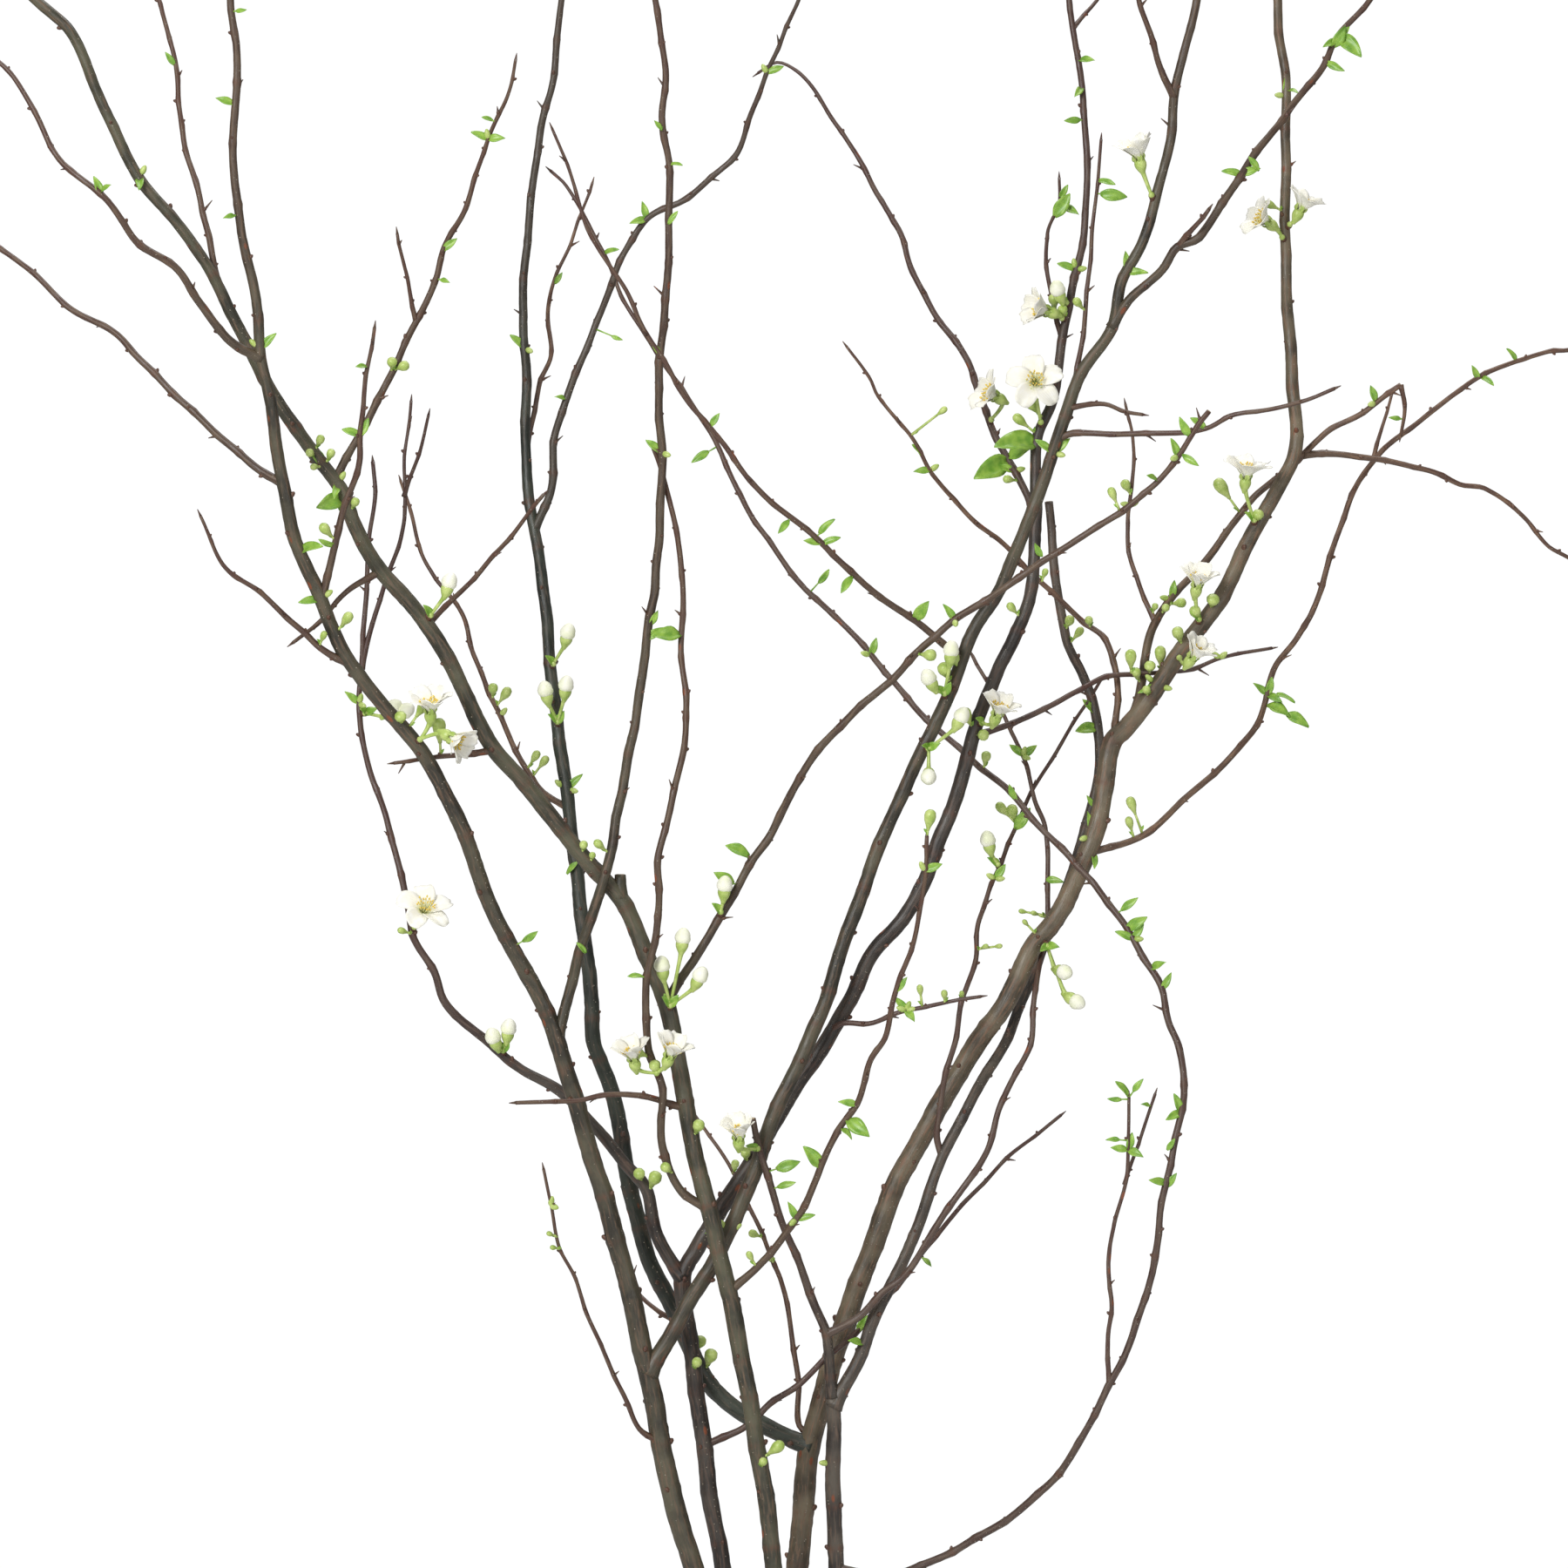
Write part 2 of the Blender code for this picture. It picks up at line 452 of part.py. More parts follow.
# Wood, with the leaf tufts and green buds that sit straight on it: (stem, x, height, leaves, buds)
TUFTS = [
    ("a_left_high", -391, 789, 1, 0), ("a_up_twig", -242, 650, 2, 0), ("a", -266, 556, 1, 1),
    ("a", -300, 700, 1, 1), ("a", -316, 840, 1, 0), ("c", -256, 622, 2, 1), ("c_high_right", -196, 756, 1, 0),
    ("c_high_right", -170, 820, 2, 1), ("a_mid", -79, 533, 1, 0), ("a_mid", -70, 640, 1, 1),
    ("d_left", -125, 447, 1, 2), ("d_left_low_twig", -163, 489, 0, 1), ("b_left", -244, 496, 1, 2),
    ("a_foot_twig", -134, 208, 0, 2), ("b_foot_twig", 42, 136, 1, 0), ("e", 28, 60, 0, 2),
    ("a_right", -32, 193, 1, 2), ("c_low_right", 7, 200, 2, 1), ("c_low_right", 42, 266, 1, 0),
    ("b_level_twig", 70, 320, 2, 3), ("c_low_right", 82, 400, 1, 1), ("e_high_twig", 137, 466, 2, 2),
    ("e_high_twig", 150, 395, 1, 0), ("d", 178, 420, 1, 1), ("e_droop", 217, 332, 1, 0),
    ("e_droop", 202, 362, 2, 1), ("e_droop", 226, 262, 2, 0), ("e_droop_twig", 196, 240, 3, 0),
    ("e_droop", 50, 524, 1, 1), ("a_fan_upper", 22, 588, 2, 0), ("d_cross_twig", 84, 630, 1, 1),
    ("c_right", 98, 544, 1, 1), ("b_arch", 133, 630, 1, 1), ("a_right", 154, 640, 2, 2),
    ("b_long_twig", 250, 522, 0, 2), ("d_dark", 222, 556, 1, 1), ("d", 215, 506, 1, 3),
    ("d_right", 281, 500, 3, 0), ("c_right", 226, 638, 1, 1), ("d_dark_twig", 198, 610, 0, 2),
    ("a_level_twig", 242, 654, 1, 0), ("d_dark", 340, 668, 1, 1), ("d_right", 400, 684, 1, 0),
    ("a_right_fork", 318, 876, 2, 0), ("d", 288, 845, 1, 1), ("a_right_fork", 262, 800, 2, 0),
    ("b", 167, 745, 1, 2), ("a_right", 196, 744, 2, 0), ("b", 172, 850, 1, 0), ("d_left_fork", -79, 774, 2, 0),
    ("d_left_fork", -10, 858, 1, 1), ("e_mid_twig", 120, 396, 1, 2), ("d_left", -148, 700, 1, 1),
    ("c", -370, 798, 1, 1),
]
TUFT_LEAF = (9, 4.6)
TUFT_BUD = (4.6, 3.6)
draw = random.Random(7)
on_wood = {1: [], 2: [], 3: [], 4: [], 5: []}
for count, (stem_name, x, height, leaves, buds) in enumerate(TUFTS):
    stem = stems[stem_name]
    x, height, depth, radius = nearest(stem, x, height)
    root = seen(x, height, depth)
    turn = draw.uniform(0, math.tau)
    for k in range(leaves + buds):
        angle = turn + k * 2.4
        out = Vector((math.cos(angle), -0.35, 0.55 + math.sin(angle) * 0.75)).normalized()
        if k < leaves:
            blade = leaf(f"tuft_{count}_{k}", root, out, TUFT_LEAF[0] + radius, TUFT_LEAF[1],
                         (0.2, -1, 0.3), 1)
            on_wood[stem["branch"]].append(blade)
        else:
            centre = root + out * (radius + TUFT_BUD[0] * 0.4) * MM
            bud = ball(f"tuft_{count}_{k}", centre, out, TUFT_BUD[0] + 1.5, TUFT_BUD[1], GREEN)
            on_wood[stem["branch"]].append(bud)

# Flower sprays: each is carried by a stem near a place, and holds open flowers, cream buds and leaves
# (name, stem, place, open flowers, cream buds, leaves)
# open flower: (cup x, cup height, cup depth past the stem, facing, petal length, opening, stamens)
SPRAYS = [
    ("spray_01", "a_right", (208, 785), [(204, 808, -10, (-0.3, 1, -0.3), 14, 35, True)], [], 0),
    ("spray_02", "d", (288, 761), [(278, 772, -10, (-1, 0.6, -0.5), 14, 45, True)], [], 0),
    ("spray_03", "d", (288, 768), [(296, 779, -9, (0.5, 1, -0.2), 13, 40, False)], [], 0),
    ("spray_04", "b", (162, 716), [(152, 721, -10, (-1, 0.3, -0.4), 14, 35, False)], [], 0),
    ("spray_05", "b", (146, 655), [(144, 680, -22, (0, 0.3, -1), 15, 75, True)], [], 0),
    ("spray_06", "b_arch", (118, 657), [(122, 672, -20, (-1, 0.5, -0.5), 14, 45, True)], [], 0),
    ("spray_07", "d", (270, 597), [(265, 625, -16, (0.1, 1, -0.3), 15, 45, True)], [], 1),
    ("spray_08", "d", (238, 540), [(237, 563, -16, (0.2, 1, -0.5), 13, 35, False)], [], 1),
    ("spray_09", "d", (226, 522), [(234, 522, -30, (0.7, 1, -0.6), 13, 35, False)], [], 0),
    ("spray_10", "b", (110, 484), [(122, 489, -14, (0.4, 1, -0.5), 13, 40, False)], [], 1),
    ("spray_11", "a", (-212, 473), [(-203, 491, -12, (0, 1, -0.5), 14, 40, False),
                                    (-192, 477, -14, (0.9, -0.5, -0.5), 13, 35, False)], [], 0),
    ("spray_12", "b_left", (-214, 366), [(-207, 376, -12, (0.3, 0.8, -0.8), 15, 65, True)], [], 0),
    ("spray_13", "c_mid", (-72, 282), [(-86, 291, -10, (-0.2, 1, -0.5), 13, 35, False),
                                       (-66, 293, -12, (0.4, 1, -0.5), 13, 35, False)], [], 0),
    ("spray_14", "e_left", (-14, 240), [(-26, 246, -20, (0.0, 1, -0.5), 13, 30, False)], [], 1),
    ("spray_15", "b", (163, 724), [], [(157, 734, -12)], 0),
    ("spray_16", "c", (-203, 544), [], [(-192, 566, -10)], 0),
    ("spray_17", "d_left", (-129, 482), [], [(-137, 504, -16), (-125, 507, -18)], 0),
    ("spray_18", "d_left", (-131, 516), [], [(-124, 537, -18)], 0),
    ("spray_19", "b_left", (-161, 294), [], [(-158, 310, -10), (-167, 305, -12)], 1),
    ("spray_20", "c", (-66, 318), [], [(-70, 346, -16), (-58, 362, -14), (-48, 340, -14)], 0),
    ("spray_21", "c_right", (-38, 374), [], [(-34, 392, -10)], 0),
    ("spray_22", "e_mid_twig", (122, 402), [], [(117, 418, -10)], 0),
    ("spray_23", "a_right", (80, 470), [], [(83, 454, -16), (102, 489, -14)], 0),
    ("spray_24", "a_right", (92, 498), [], [(83, 511, -12), (96, 527, -14)], 0),
    ("spray_25", "d", (148, 362), [], [(161, 342, -18), (168, 325, -16)], 0),
    ("spray_26", "b_left", (-244, 490), [], [(-224, 494, -10), (-217, 492, -10)], 0),
]
PETALS_IN_FLOWER = 5
CUP = (5.4, 2.6)
SPUR_OUT = 2.2
SPUR_LEAN = 0.6
FLOOR_RADIUS = 3.0
WEDGE = math.tan(math.pi / PETALS_IN_FLOWER) * 0.94


def pointed(x, height, depth):
    return Vector((x, depth, height)).normalized()


def corolla(name, base, facing, first_turn, length, opening):
    """A flower's ring of cupped petals, all rising from one small floor, as a thin closed plate."""
    side = facing.orthogonal().normalized()
    other = facing.cross(side)
    tilt = math.radians(opening)
    half_wedge = math.pi / PETALS_IN_FLOWER
    shape = bmesh.new()

    def spot(share, turn, side_share):
        lean = tilt * (0.75 + 0.45 * share)
        out = FLOOR_RADIUS + math.sin(lean) * length * share
        half = min(length * 0.4 * (1, 0.66)[share == 1], out * WEDGE)
        swing = side * math.cos(turn) + other * math.sin(turn)
        across = facing.cross(swing)
        cup = abs(side_share) * half * 0.3
        rise = math.cos(lean) * length * share + cup + BLADE
        reach = facing * rise + swing * (out - cup * 0.5) + across * side_share * half
        return shape.verts.new(base + reach * MM)

    turns = [first_turn + 2 * half_wedge * k for k in range(PETALS_IN_FLOWER)]
    ring = []
    for turn in turns:
        for way in (turn - half_wedge, turn):
            swing = side * math.cos(way) + other * math.sin(way)
            ring.append(shape.verts.new(base + (facing * BLADE + swing * FLOOR_RADIUS) * MM))
    middle = shape.verts.new(base + facing * BLADE * MM)
    for k, turn in enumerate(turns):
        low = [ring[2 * k], ring[2 * k + 1], ring[(2 * k + 2) % len(ring)]]
        rows = [low] + [[spot(share, turn, way) for way in (-1, 0, 1)] for share in (0.5, 1)]
        for lower, upper in zip(rows, rows[1:]):
            for j in (0, 1):
                shape.faces.new((lower[j], lower[j + 1], upper[j + 1], upper[j]))
        shape.faces.new((middle, low[1], low[0]))
        shape.faces.new((middle, low[2], low[1]))
    bmesh.ops.recalc_face_normals(shape, faces=shape.faces)
    bmesh.ops.triangulate(shape, faces=shape.faces)
    made = from_bmesh(name, shape, IVORY)
    plate = made.modifiers.new("plate", "SOLIDIFY")
    plate.thickness = BLADE * MM
    plate.offset = 0
    made.modifiers.new("triangles", "TRIANGULATE")
    return applied(made)


def disc(name, base, facing, radius, height, surface, segments=6, top=None):
    """A short round foot standing on base."""
    shape = bmesh.new()
    bmesh.ops.create_cone(shape, cap_ends=True, segments=segments, radius1=radius * MM,
                          radius2=(radius if top is None else top) * MM, depth=height * MM)
    turn = Vector((0, 0, 1)).rotation_difference(facing).to_matrix()
    for vert in shape.verts:
        vert.co = base + turn @ (vert.co + Vector((0, 0, height / 2)) * MM)
    return from_bmesh(name, shape, surface)


def make_spray(name, stem_name, place, flowers, buds, leaves):
    """Stalks and cups in one green body, each flower's petals in another, and its stamens in a third."""
    stem = stems[stem_name]
    x, height, depth, radius = nearest(stem, *place)
    root = seen(x, height, depth)
    ends = [flower[:3] for flower in flowers] + buds
    middle = np.mean(np.array(ends), axis=0)
    aim = (seen(middle[0], middle[1], depth + middle[2]) - root).normalized()
    aim = (aim + Vector((0, -SPUR_LEAN, 0))).normalized()
    spur_end = root + aim * (radius + SPUR_OUT) * MM
    spur = tube(name + "_spur", [root, spur_end], [1.6, 1.5], BARK)
    on_wood[stem["branch"]].append(spur)
    start = spur_end + aim * GAP * MM
    knot = disc(name + "_knot", start, aim, 1.5, 2.2, GREEN)
    greens = [knot]
    fork = start + aim * 1.4 * MM
    for k, (cup_x, cup_height, past, facing, length, opening, stamens) in enumerate(flowers):
        cup = seen(cup_x, cup_height, depth + past)
        face = pointed(*facing)
        foot = cup - face * CUP[0] * MM
        bend = fork.lerp(foot, 0.5) - face * 1.0 * MM
        greens.append(tube(f"{name}_stalk_{k}", [fork, bend, foot + face * MM], [0.8, 0.8, 0.9], GREEN))
        greens.append(disc(f"{name}_cup_{k}", foot, face, 1.3, CUP[0], GREEN, top=CUP[1]))
        seat = cup + face * GAP * MM
        corolla(f"{name}_petals_{k + 1}", seat, face, k + place[0], length, opening)
        if stamens:
            seat = seat + face * (1.5 * BLADE + GAP) * MM
            tuft = [disc(f"{name}_heart_{k}", seat, face, 1.4, 0.8, YELLOW, segments=5)]
            for j in range(7):
                turn = j * math.tau / 7
                side = face.orthogonal().normalized()
                out = side * math.cos(turn) + face.cross(side) * math.sin(turn)
                lean = (face + out * (0.35 if j % 2 else 0.2)).normalized()
                filament = disc(f"{name}_stamen_{k}_{j}", seat + (out * 0.9 + face * 0.3) * MM, lean, 0.35,
                                length * 0.4, YELLOW, segments=3, top=0.6)
                tuft.append(filament)
            fused(f"{name}_stamens_{k + 1}", tuft, YELLOW)
    for k, (bud_x, bud_height, past) in enumerate(buds):
        centre = seen(bud_x, bud_height, depth + past)
        out = (centre - fork).normalized()
        out = (out + Vector((0, 0, 0.6))).normalized()
        foot = centre - out * 6.5 * MM
        greens.append(tube(f"{name}_stalk_b{k}", [fork, foot + out * MM], [0.8, 0.9], GREEN))
        greens.append(disc(f"{name}_cup_b{k}", foot, out, 1.2, 3.6, GREEN, top=2.2))
        greens.append(ball(f"{name}_bud_{k}", centre, out, 9.5, 8.6, CREAM, segments=6, rings=4))
    for k in range(leaves):
        out = (aim + Vector((0.8 if k % 2 else -0.8, -0.4, 0.3))).normalized()
        greens.append(leaf(f"{name}_leaf_{k}", fork - out * 0.8 * MM, out, 10, 5, (0.2, -1, 0.3)))
    fused(name, greens, CREAM if buds and not flowers else GREEN)


for spray in SPRAYS:
    make_spray(*spray)

# The five branches of wood
for branch in on_wood:
    pieces = []
    for stem_name, stem in stems.items():
        if stem["branch"] == branch:
            points, radii = centreline(stem)
            pieces.append(tube(stem_name, points, radii, BARK, rings=stem["rings"]))
    fused(f"branch_{branch}_wood", pieces + on_wood[branch], BARK)

# The vase: a turned profile, outer side from the rim down, then the inside
inner = VASE_RADIUS - VASE_WALL
profile = [
    (inner + 1.5, VASE_HEIGHT), (VASE_RADIUS - 1.5, VASE_HEIGHT), (VASE_RADIUS, VASE_HEIGHT - 2),
    (VASE_RADIUS, VASE_FOOT_CHAMFER), (VASE_RADIUS - VASE_FOOT_CHAMFER, 0), (0, 0),
]
cavity = [
    (0, VASE_FLOOR), (inner - 5, VASE_FLOOR), (inner, VASE_FLOOR + 5), (inner, VASE_HEIGHT - 2),
    (inner + 1.5, VASE_HEIGHT),
]


def turned(name, outline, surface, steps=24):
    shape = bmesh.new()
    rim = [shape.verts.new((radius * MM, 0, level * MM)) for radius, level in outline]
    for a, b in zip(rim, rim[1:]):
        shape.edges.new((a, b))
    made = from_bmesh(name, shape, surface)
    spin = made.modifiers.new("turn", "SCREW")
    spin.steps = steps
    spin.render_steps = steps
    spin.use_merge_vertices = True
    spin.merge_threshold = 0.00001
    return made


vase = turned("vase", profile + cavity, GLASS)

# The water: a turned body, with a plain hole for each stem
water_inner = inner - GAP
water_floor = VASE_FLOOR + GAP
water = turned("water", [
    (0, WATER_LEVEL), (water_inner, WATER_LEVEL), (water_inner, VASE_FLOOR + 5.2),
    (inner - 5.2, water_floor), (0, water_floor)], WATER)
applied(water)
for stem_name in ("a", "b", "c", "d", "e"):
    stem = stems[stem_name]
    foot = foot_of(stem)
    edge = seen(stem["flat"][0][0], stem["flat"][0][1], stem["depth"][0])
    way = (edge - foot).normalized()
    wide = stem["radius"][0] + 1.1
    hole = tube("hole_" + stem_name, [foot - way * 12 * MM, edge], [wide, wide], WATER, home=cutters, rings=1)
    hole.hide_render = True
    hole.display_type = "WIRE"
    cut = water.modifiers.new("hole_" + stem_name, "BOOLEAN")
    cut.operation = "DIFFERENCE"
    cut.object = hole

for made in part.objects:
    made.data.shade_smooth()
    made.data.set_sharp_from_angle(angle=math.radians(40))
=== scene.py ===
"""Flowering quince: five cut branches with ivory blooms, buds and young leaves, in a glass vase."""

import math
import random

import bpy
import numpy as np
from mathutils import Matrix, Vector, noise


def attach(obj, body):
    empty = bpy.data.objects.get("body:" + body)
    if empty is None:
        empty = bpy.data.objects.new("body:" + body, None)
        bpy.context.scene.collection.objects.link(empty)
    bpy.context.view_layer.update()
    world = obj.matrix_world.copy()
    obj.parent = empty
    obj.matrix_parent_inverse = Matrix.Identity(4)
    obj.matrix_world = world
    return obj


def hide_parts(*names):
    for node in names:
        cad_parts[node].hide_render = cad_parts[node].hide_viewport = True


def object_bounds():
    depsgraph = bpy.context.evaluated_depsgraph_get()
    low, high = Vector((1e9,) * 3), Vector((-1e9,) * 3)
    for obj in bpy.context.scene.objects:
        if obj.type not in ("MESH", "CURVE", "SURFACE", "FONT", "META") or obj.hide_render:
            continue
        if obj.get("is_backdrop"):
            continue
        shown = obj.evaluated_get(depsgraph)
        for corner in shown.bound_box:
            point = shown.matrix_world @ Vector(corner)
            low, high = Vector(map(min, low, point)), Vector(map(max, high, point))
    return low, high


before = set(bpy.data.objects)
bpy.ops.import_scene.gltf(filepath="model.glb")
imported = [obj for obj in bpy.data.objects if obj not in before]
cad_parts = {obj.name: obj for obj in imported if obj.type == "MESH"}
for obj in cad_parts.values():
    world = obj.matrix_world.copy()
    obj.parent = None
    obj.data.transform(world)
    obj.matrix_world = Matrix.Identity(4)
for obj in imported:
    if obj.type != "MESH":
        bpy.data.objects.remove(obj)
cad_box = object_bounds()
bpy.ops.object.select_all(action="DESELECT")
MM = 0.001

# How the branches grow. Each stem is a listed route, root to tip, in millimetres, as an eye
# three metres in front sees it. A twig starts inside the stem that carries it, and a stem that would
# run through another branch bends behind or in front of it.
ROUTE_LEVEL = 420
EYE_HEIGHT = 870
EYE_DISTANCE = 3000
CLEAR_OF_STEMS = 2.2
BEND_REACH = 50
STEM_FOOT = 15.2


def seen(x, height, depth):
    """The point at this depth behind the vase's axis that the eye sees at x and height."""
    reach = 1 + depth / EYE_DISTANCE
    level = EYE_HEIGHT + (ROUTE_LEVEL + height - EYE_HEIGHT) * reach
    return Vector((x * reach, depth, level)) * MM


stems = {}


def along(points):
    steps = np.linalg.norm(np.diff(points, axis=0), axis=1)
    return np.concatenate([[0], np.cumsum(steps)])


def nearest(stem, x, height):
    """Where on a stem's centreline this place is: its x, height, depth and radius there."""
    best = None
    for i in range(len(stem["flat"]) - 1):
        a = stem["flat"][i]
        b = stem["flat"][i + 1]
        span = b - a
        share = float(np.clip(np.dot(np.array((x, height)) - a, span) / np.dot(span, span), 0, 1))
        spot = a + span * share
        off = math.hypot(x - spot[0], height - spot[1])
        if best is None or off < best[0]:
            depth = stem["depth"][i] + (stem["depth"][i + 1] - stem["depth"][i]) * share
            radius = stem["radius"][i] + (stem["radius"][i + 1] - stem["radius"][i]) * share
            best = (off, spot[0], spot[1], depth, radius)
    return best[1:]


def samples(stem, count=5):
    """Spots along a stem: flat place, depth and radius, with the distance along it."""
    run = along(stem["flat"])
    starts = [np.linspace(a, b, count, endpoint=False) for a, b in zip(run, run[1:])]
    at = np.append(np.concatenate(starts), run[-1])
    flat = np.stack([np.interp(at, run, stem["flat"][:, k]) for k in (0, 1)], axis=1)
    return at, flat, np.interp(at, run, stem["depth"]), np.interp(at, run, stem["radius"])


def bend_clear(stem):
    """Shifts a stem in depth wherever it would run through a stem of another branch."""
    others = [samples(other) for other in stems.values() if other["branch"] != stem["branch"]]
    if not others:
        return
    spots = np.concatenate([other[1] for other in others])
    depths = np.concatenate([other[2] for other in others])
    radii = np.concatenate([other[3] for other in others])
    run = along(stem["flat"])
    rooted = np.clip(run / 12, 0, 1) if stem["rooted"] else np.ones(len(run))
    side = None
    for _ in range(30):
        at, flat, depth, radius = samples(stem)
        away = np.linalg.norm(flat[:, None] - spots[None], axis=2)
        need = radius[:, None] + radii[None] + CLEAR_OF_STEMS
        between = depth[:, None] - depths[None]
        if side is None:
            side = np.where(between < 0, -1.0, 1.0)
        wanted = np.sqrt(np.clip(need**2 - away**2, 0, None))
        push = np.where(away < need, side * np.clip(wanted - side * between, 0, None), 0)
        if np.abs(push).max() < 0.05:
            break
        pick = np.abs(push).argmax(axis=1)
        shift = push[np.arange(len(at)), pick]
        worst = np.abs(shift).argmax()
        fall = np.clip(1 - np.abs(run - at[worst]) / BEND_REACH, 0, 1)
        reach = np.interp(at[worst], run, fall * rooted)
        stem["depth"] = stem["depth"] + shift[worst] * fall * rooted / max(reach, 0.25)


def grow(name, branch, parent, radius, depth, route, foot=None):
    """Lays one stem. Its radius and depth run evenly through the values given, from root to tip."""
    flat = np.array(route, float)
    root_depth = depth[0]
    if parent:
        x, height, root_depth, _ = nearest(stems[parent], *route[0])
        flat[0] = (x, height)
    run = along(flat)
    values = [root_depth, *depth[1:]]
    stem = {
        "branch": branch,
        "flat": flat,
        "depth": np.interp(run, np.linspace(0, run[-1], len(values)), values),
        "radius": np.interp(run, np.linspace(0, run[-1], len(radius)), radius),
        "rooted": parent is not None,
        "foot": foot,
    }
    bend_clear(stem)
    stems[name] = stem


# Branch 3, whose main stem passes in front at the bottom
grow("c", 3, None, (4.9, 5.0, 4.8, 4.4, 3.2, 3.0), (-34, -34, -26, -42, -66, -84), [
    (-6, 0), (-16, 74), (-28, 140), (-40, 194), (-46, 216), (-56, 262), (-62, 300), (-68, 324),
    (-81, 357), (-94, 384), (-122, 416), (-150, 452), (-167, 470), (-184, 504), (-205, 542),
    (-232, 573), (-247, 600), (-255, 620), (-284, 659), (-304, 694), (-324, 734), (-339, 760),
    (-370, 798), (-389, 835), (-408, 879), (-429, 900), (-450, 922)], foot=(12, -34))

# Branch 1, left of the others at the bottom
grow("a", 1, None, (5.9, 5.6, 4.6, 4.2, 3.6, 2.2, 2.0), (-14, -16, -30, -62, -92, -116, -134), [
    (-52, 0), (-64, 40), (-72, 80), (-78, 111), (-89, 160), (-100, 202), (-116, 255), (-130, 302),
    (-144, 335), (-164, 370), (-189, 434), (-210, 471), (-249, 519), (-265, 554), (-280, 589),
    (-288, 624), (-294, 664), (-300, 695), (-304, 734), (-312, 770), (-316, 808), (-314, 872),
    (-318, 900), (-317, 975)], foot=(38, -14))
grow("a_right", 1, "a", (4.6, 4.4, 4.0, 3.8, 3.6, 2.8, 2.0), (-14, -12, -6, -12, -32, -52, -64), [
    (-78, 111), (-66, 132), (-54, 154), (-43, 170), (-32, 193), (-18, 224), (-8, 254), (14, 302),
    (22, 320), (30, 346), (40, 374), (51, 405), (72, 454), (86, 482), (97, 508), (110, 540),
    (126, 566), (143, 609), (152, 632), (162, 664), (171, 686), (188, 712), (194, 738), (206, 762),
    (221, 816), (224, 844), (230, 872), (237, 900), (246, 950)])
grow("a_mid", 1, "a", (3.2, 2.6, 2.2, 1.6), (0, -30, -44, -66, -90), [
    (-130, 302), (-122, 336), (-112, 370), (-102, 399), (-96, 431), (-83, 500), (-79, 533),
    (-74, 565), (-70, 632), (-72, 680), (-67, 740), (-66, 804), (-70, 833), (-68, 860), (-74, 900),
    (-78, 940)])

# Branch 2, behind branch 1
grow("b", 2, None, (4.8, 4.8, 4.4, 4.2, 3.4, 2.0, 1.7), (4, 6, 12, 20, 34, 54, 72), [
    (-35, 0), (-41, 32), (-46, 70), (-52, 116), (-58, 166), (-50, 184), (-41, 198), (-26, 222),
    (-4, 258), (9, 280), (24, 302), (38, 326), (49, 350), (66, 370), (80, 392), (88, 416),
    (97, 436), (108, 476), (122, 514), (133, 535), (141, 558), (145, 605), (144, 626), (146, 650),
    (154, 670), (162, 718), (173, 774), (172, 842), (167, 875), (164, 900), (160, 945)], foot=(27, 4))
grow("b_left", 2, "b", (4.0, 3.0, 1.9, 1.6, 1.2), (4, 2, -4, 16, 44), [
    (-58, 166), (-74, 193), (-79, 218), (-92, 233), (-118, 264), (-131, 275), (-150, 286),
    (-168, 300), (-194, 324), (-201, 342), (-212, 361), (-216, 380), (-228, 430), (-238, 458),
    (-244, 496), (-242, 524), (-238, 590), (-235, 615), (-236, 635)])

# Branch 4, the thickest, grey brown
grow("d", 4, None, (6.4, 6.2, 5.8, 5.6, 4.4, 3.0, 2.6), (26, 24, 32, 50, 72, 92, 108), [
    (8, 0), (14, 64), (26, 112), (34, 138), (44, 166), (66, 224), (82, 252), (97, 279), (110, 300),
    (126, 322), (141, 353), (154, 370), (166, 392), (177, 418), (184, 447), (188, 474), (196, 482),
    (208, 496), (222, 518), (250, 556), (272, 600), (284, 620), (292, 636), (294, 652), (292, 680),
    (288, 747), (288, 814), (288, 852), (284, 884), (281, 950)], foot=(-40, 26))
grow("d_left", 4, "d", (5.0, 4.8, 4.0, 3.4, 2.4, 1.8), (26, 28, 32, 62, 98, 126), [
    (14, 70), (-8, 80), (-26, 90), (-42, 105), (-55, 128), (-66, 154), (-78, 178), (-85, 204),
    (-92, 237), (-98, 272), (-109, 300), (-110, 322), (-118, 390), (-125, 447), (-133, 508),
    (-138, 562), (-144, 600), (-148, 632), (-148, 690), (-150, 718), (-148, 756), (-140, 824),
    (-133, 852), (-128, 900), (-124, 940)])

# Branch 5, on the right, which passes in front of branch 4 and then behind it
grow("e", 5, None, (4.6, 4.6, 4.2), (14, 8, 2), [
    (30, 0), (28, 42), (29, 80), (28, 98)], foot=(12, 32))
grow("e_right", 5, "e", (4.0, 3.2, 3.0, 3.0, 2.6), (0, 4, 8, 62, 92, 100, 104), [
    (28, 92), (42, 118), (51, 141), (62, 164), (76, 193), (86, 224), (106, 266), (126, 300),
    (137, 326), (144, 344), (156, 375), (168, 408), (176, 435), (181, 460), (180, 485), (171, 514),
    (162, 533), (155, 577), (152, 612)])

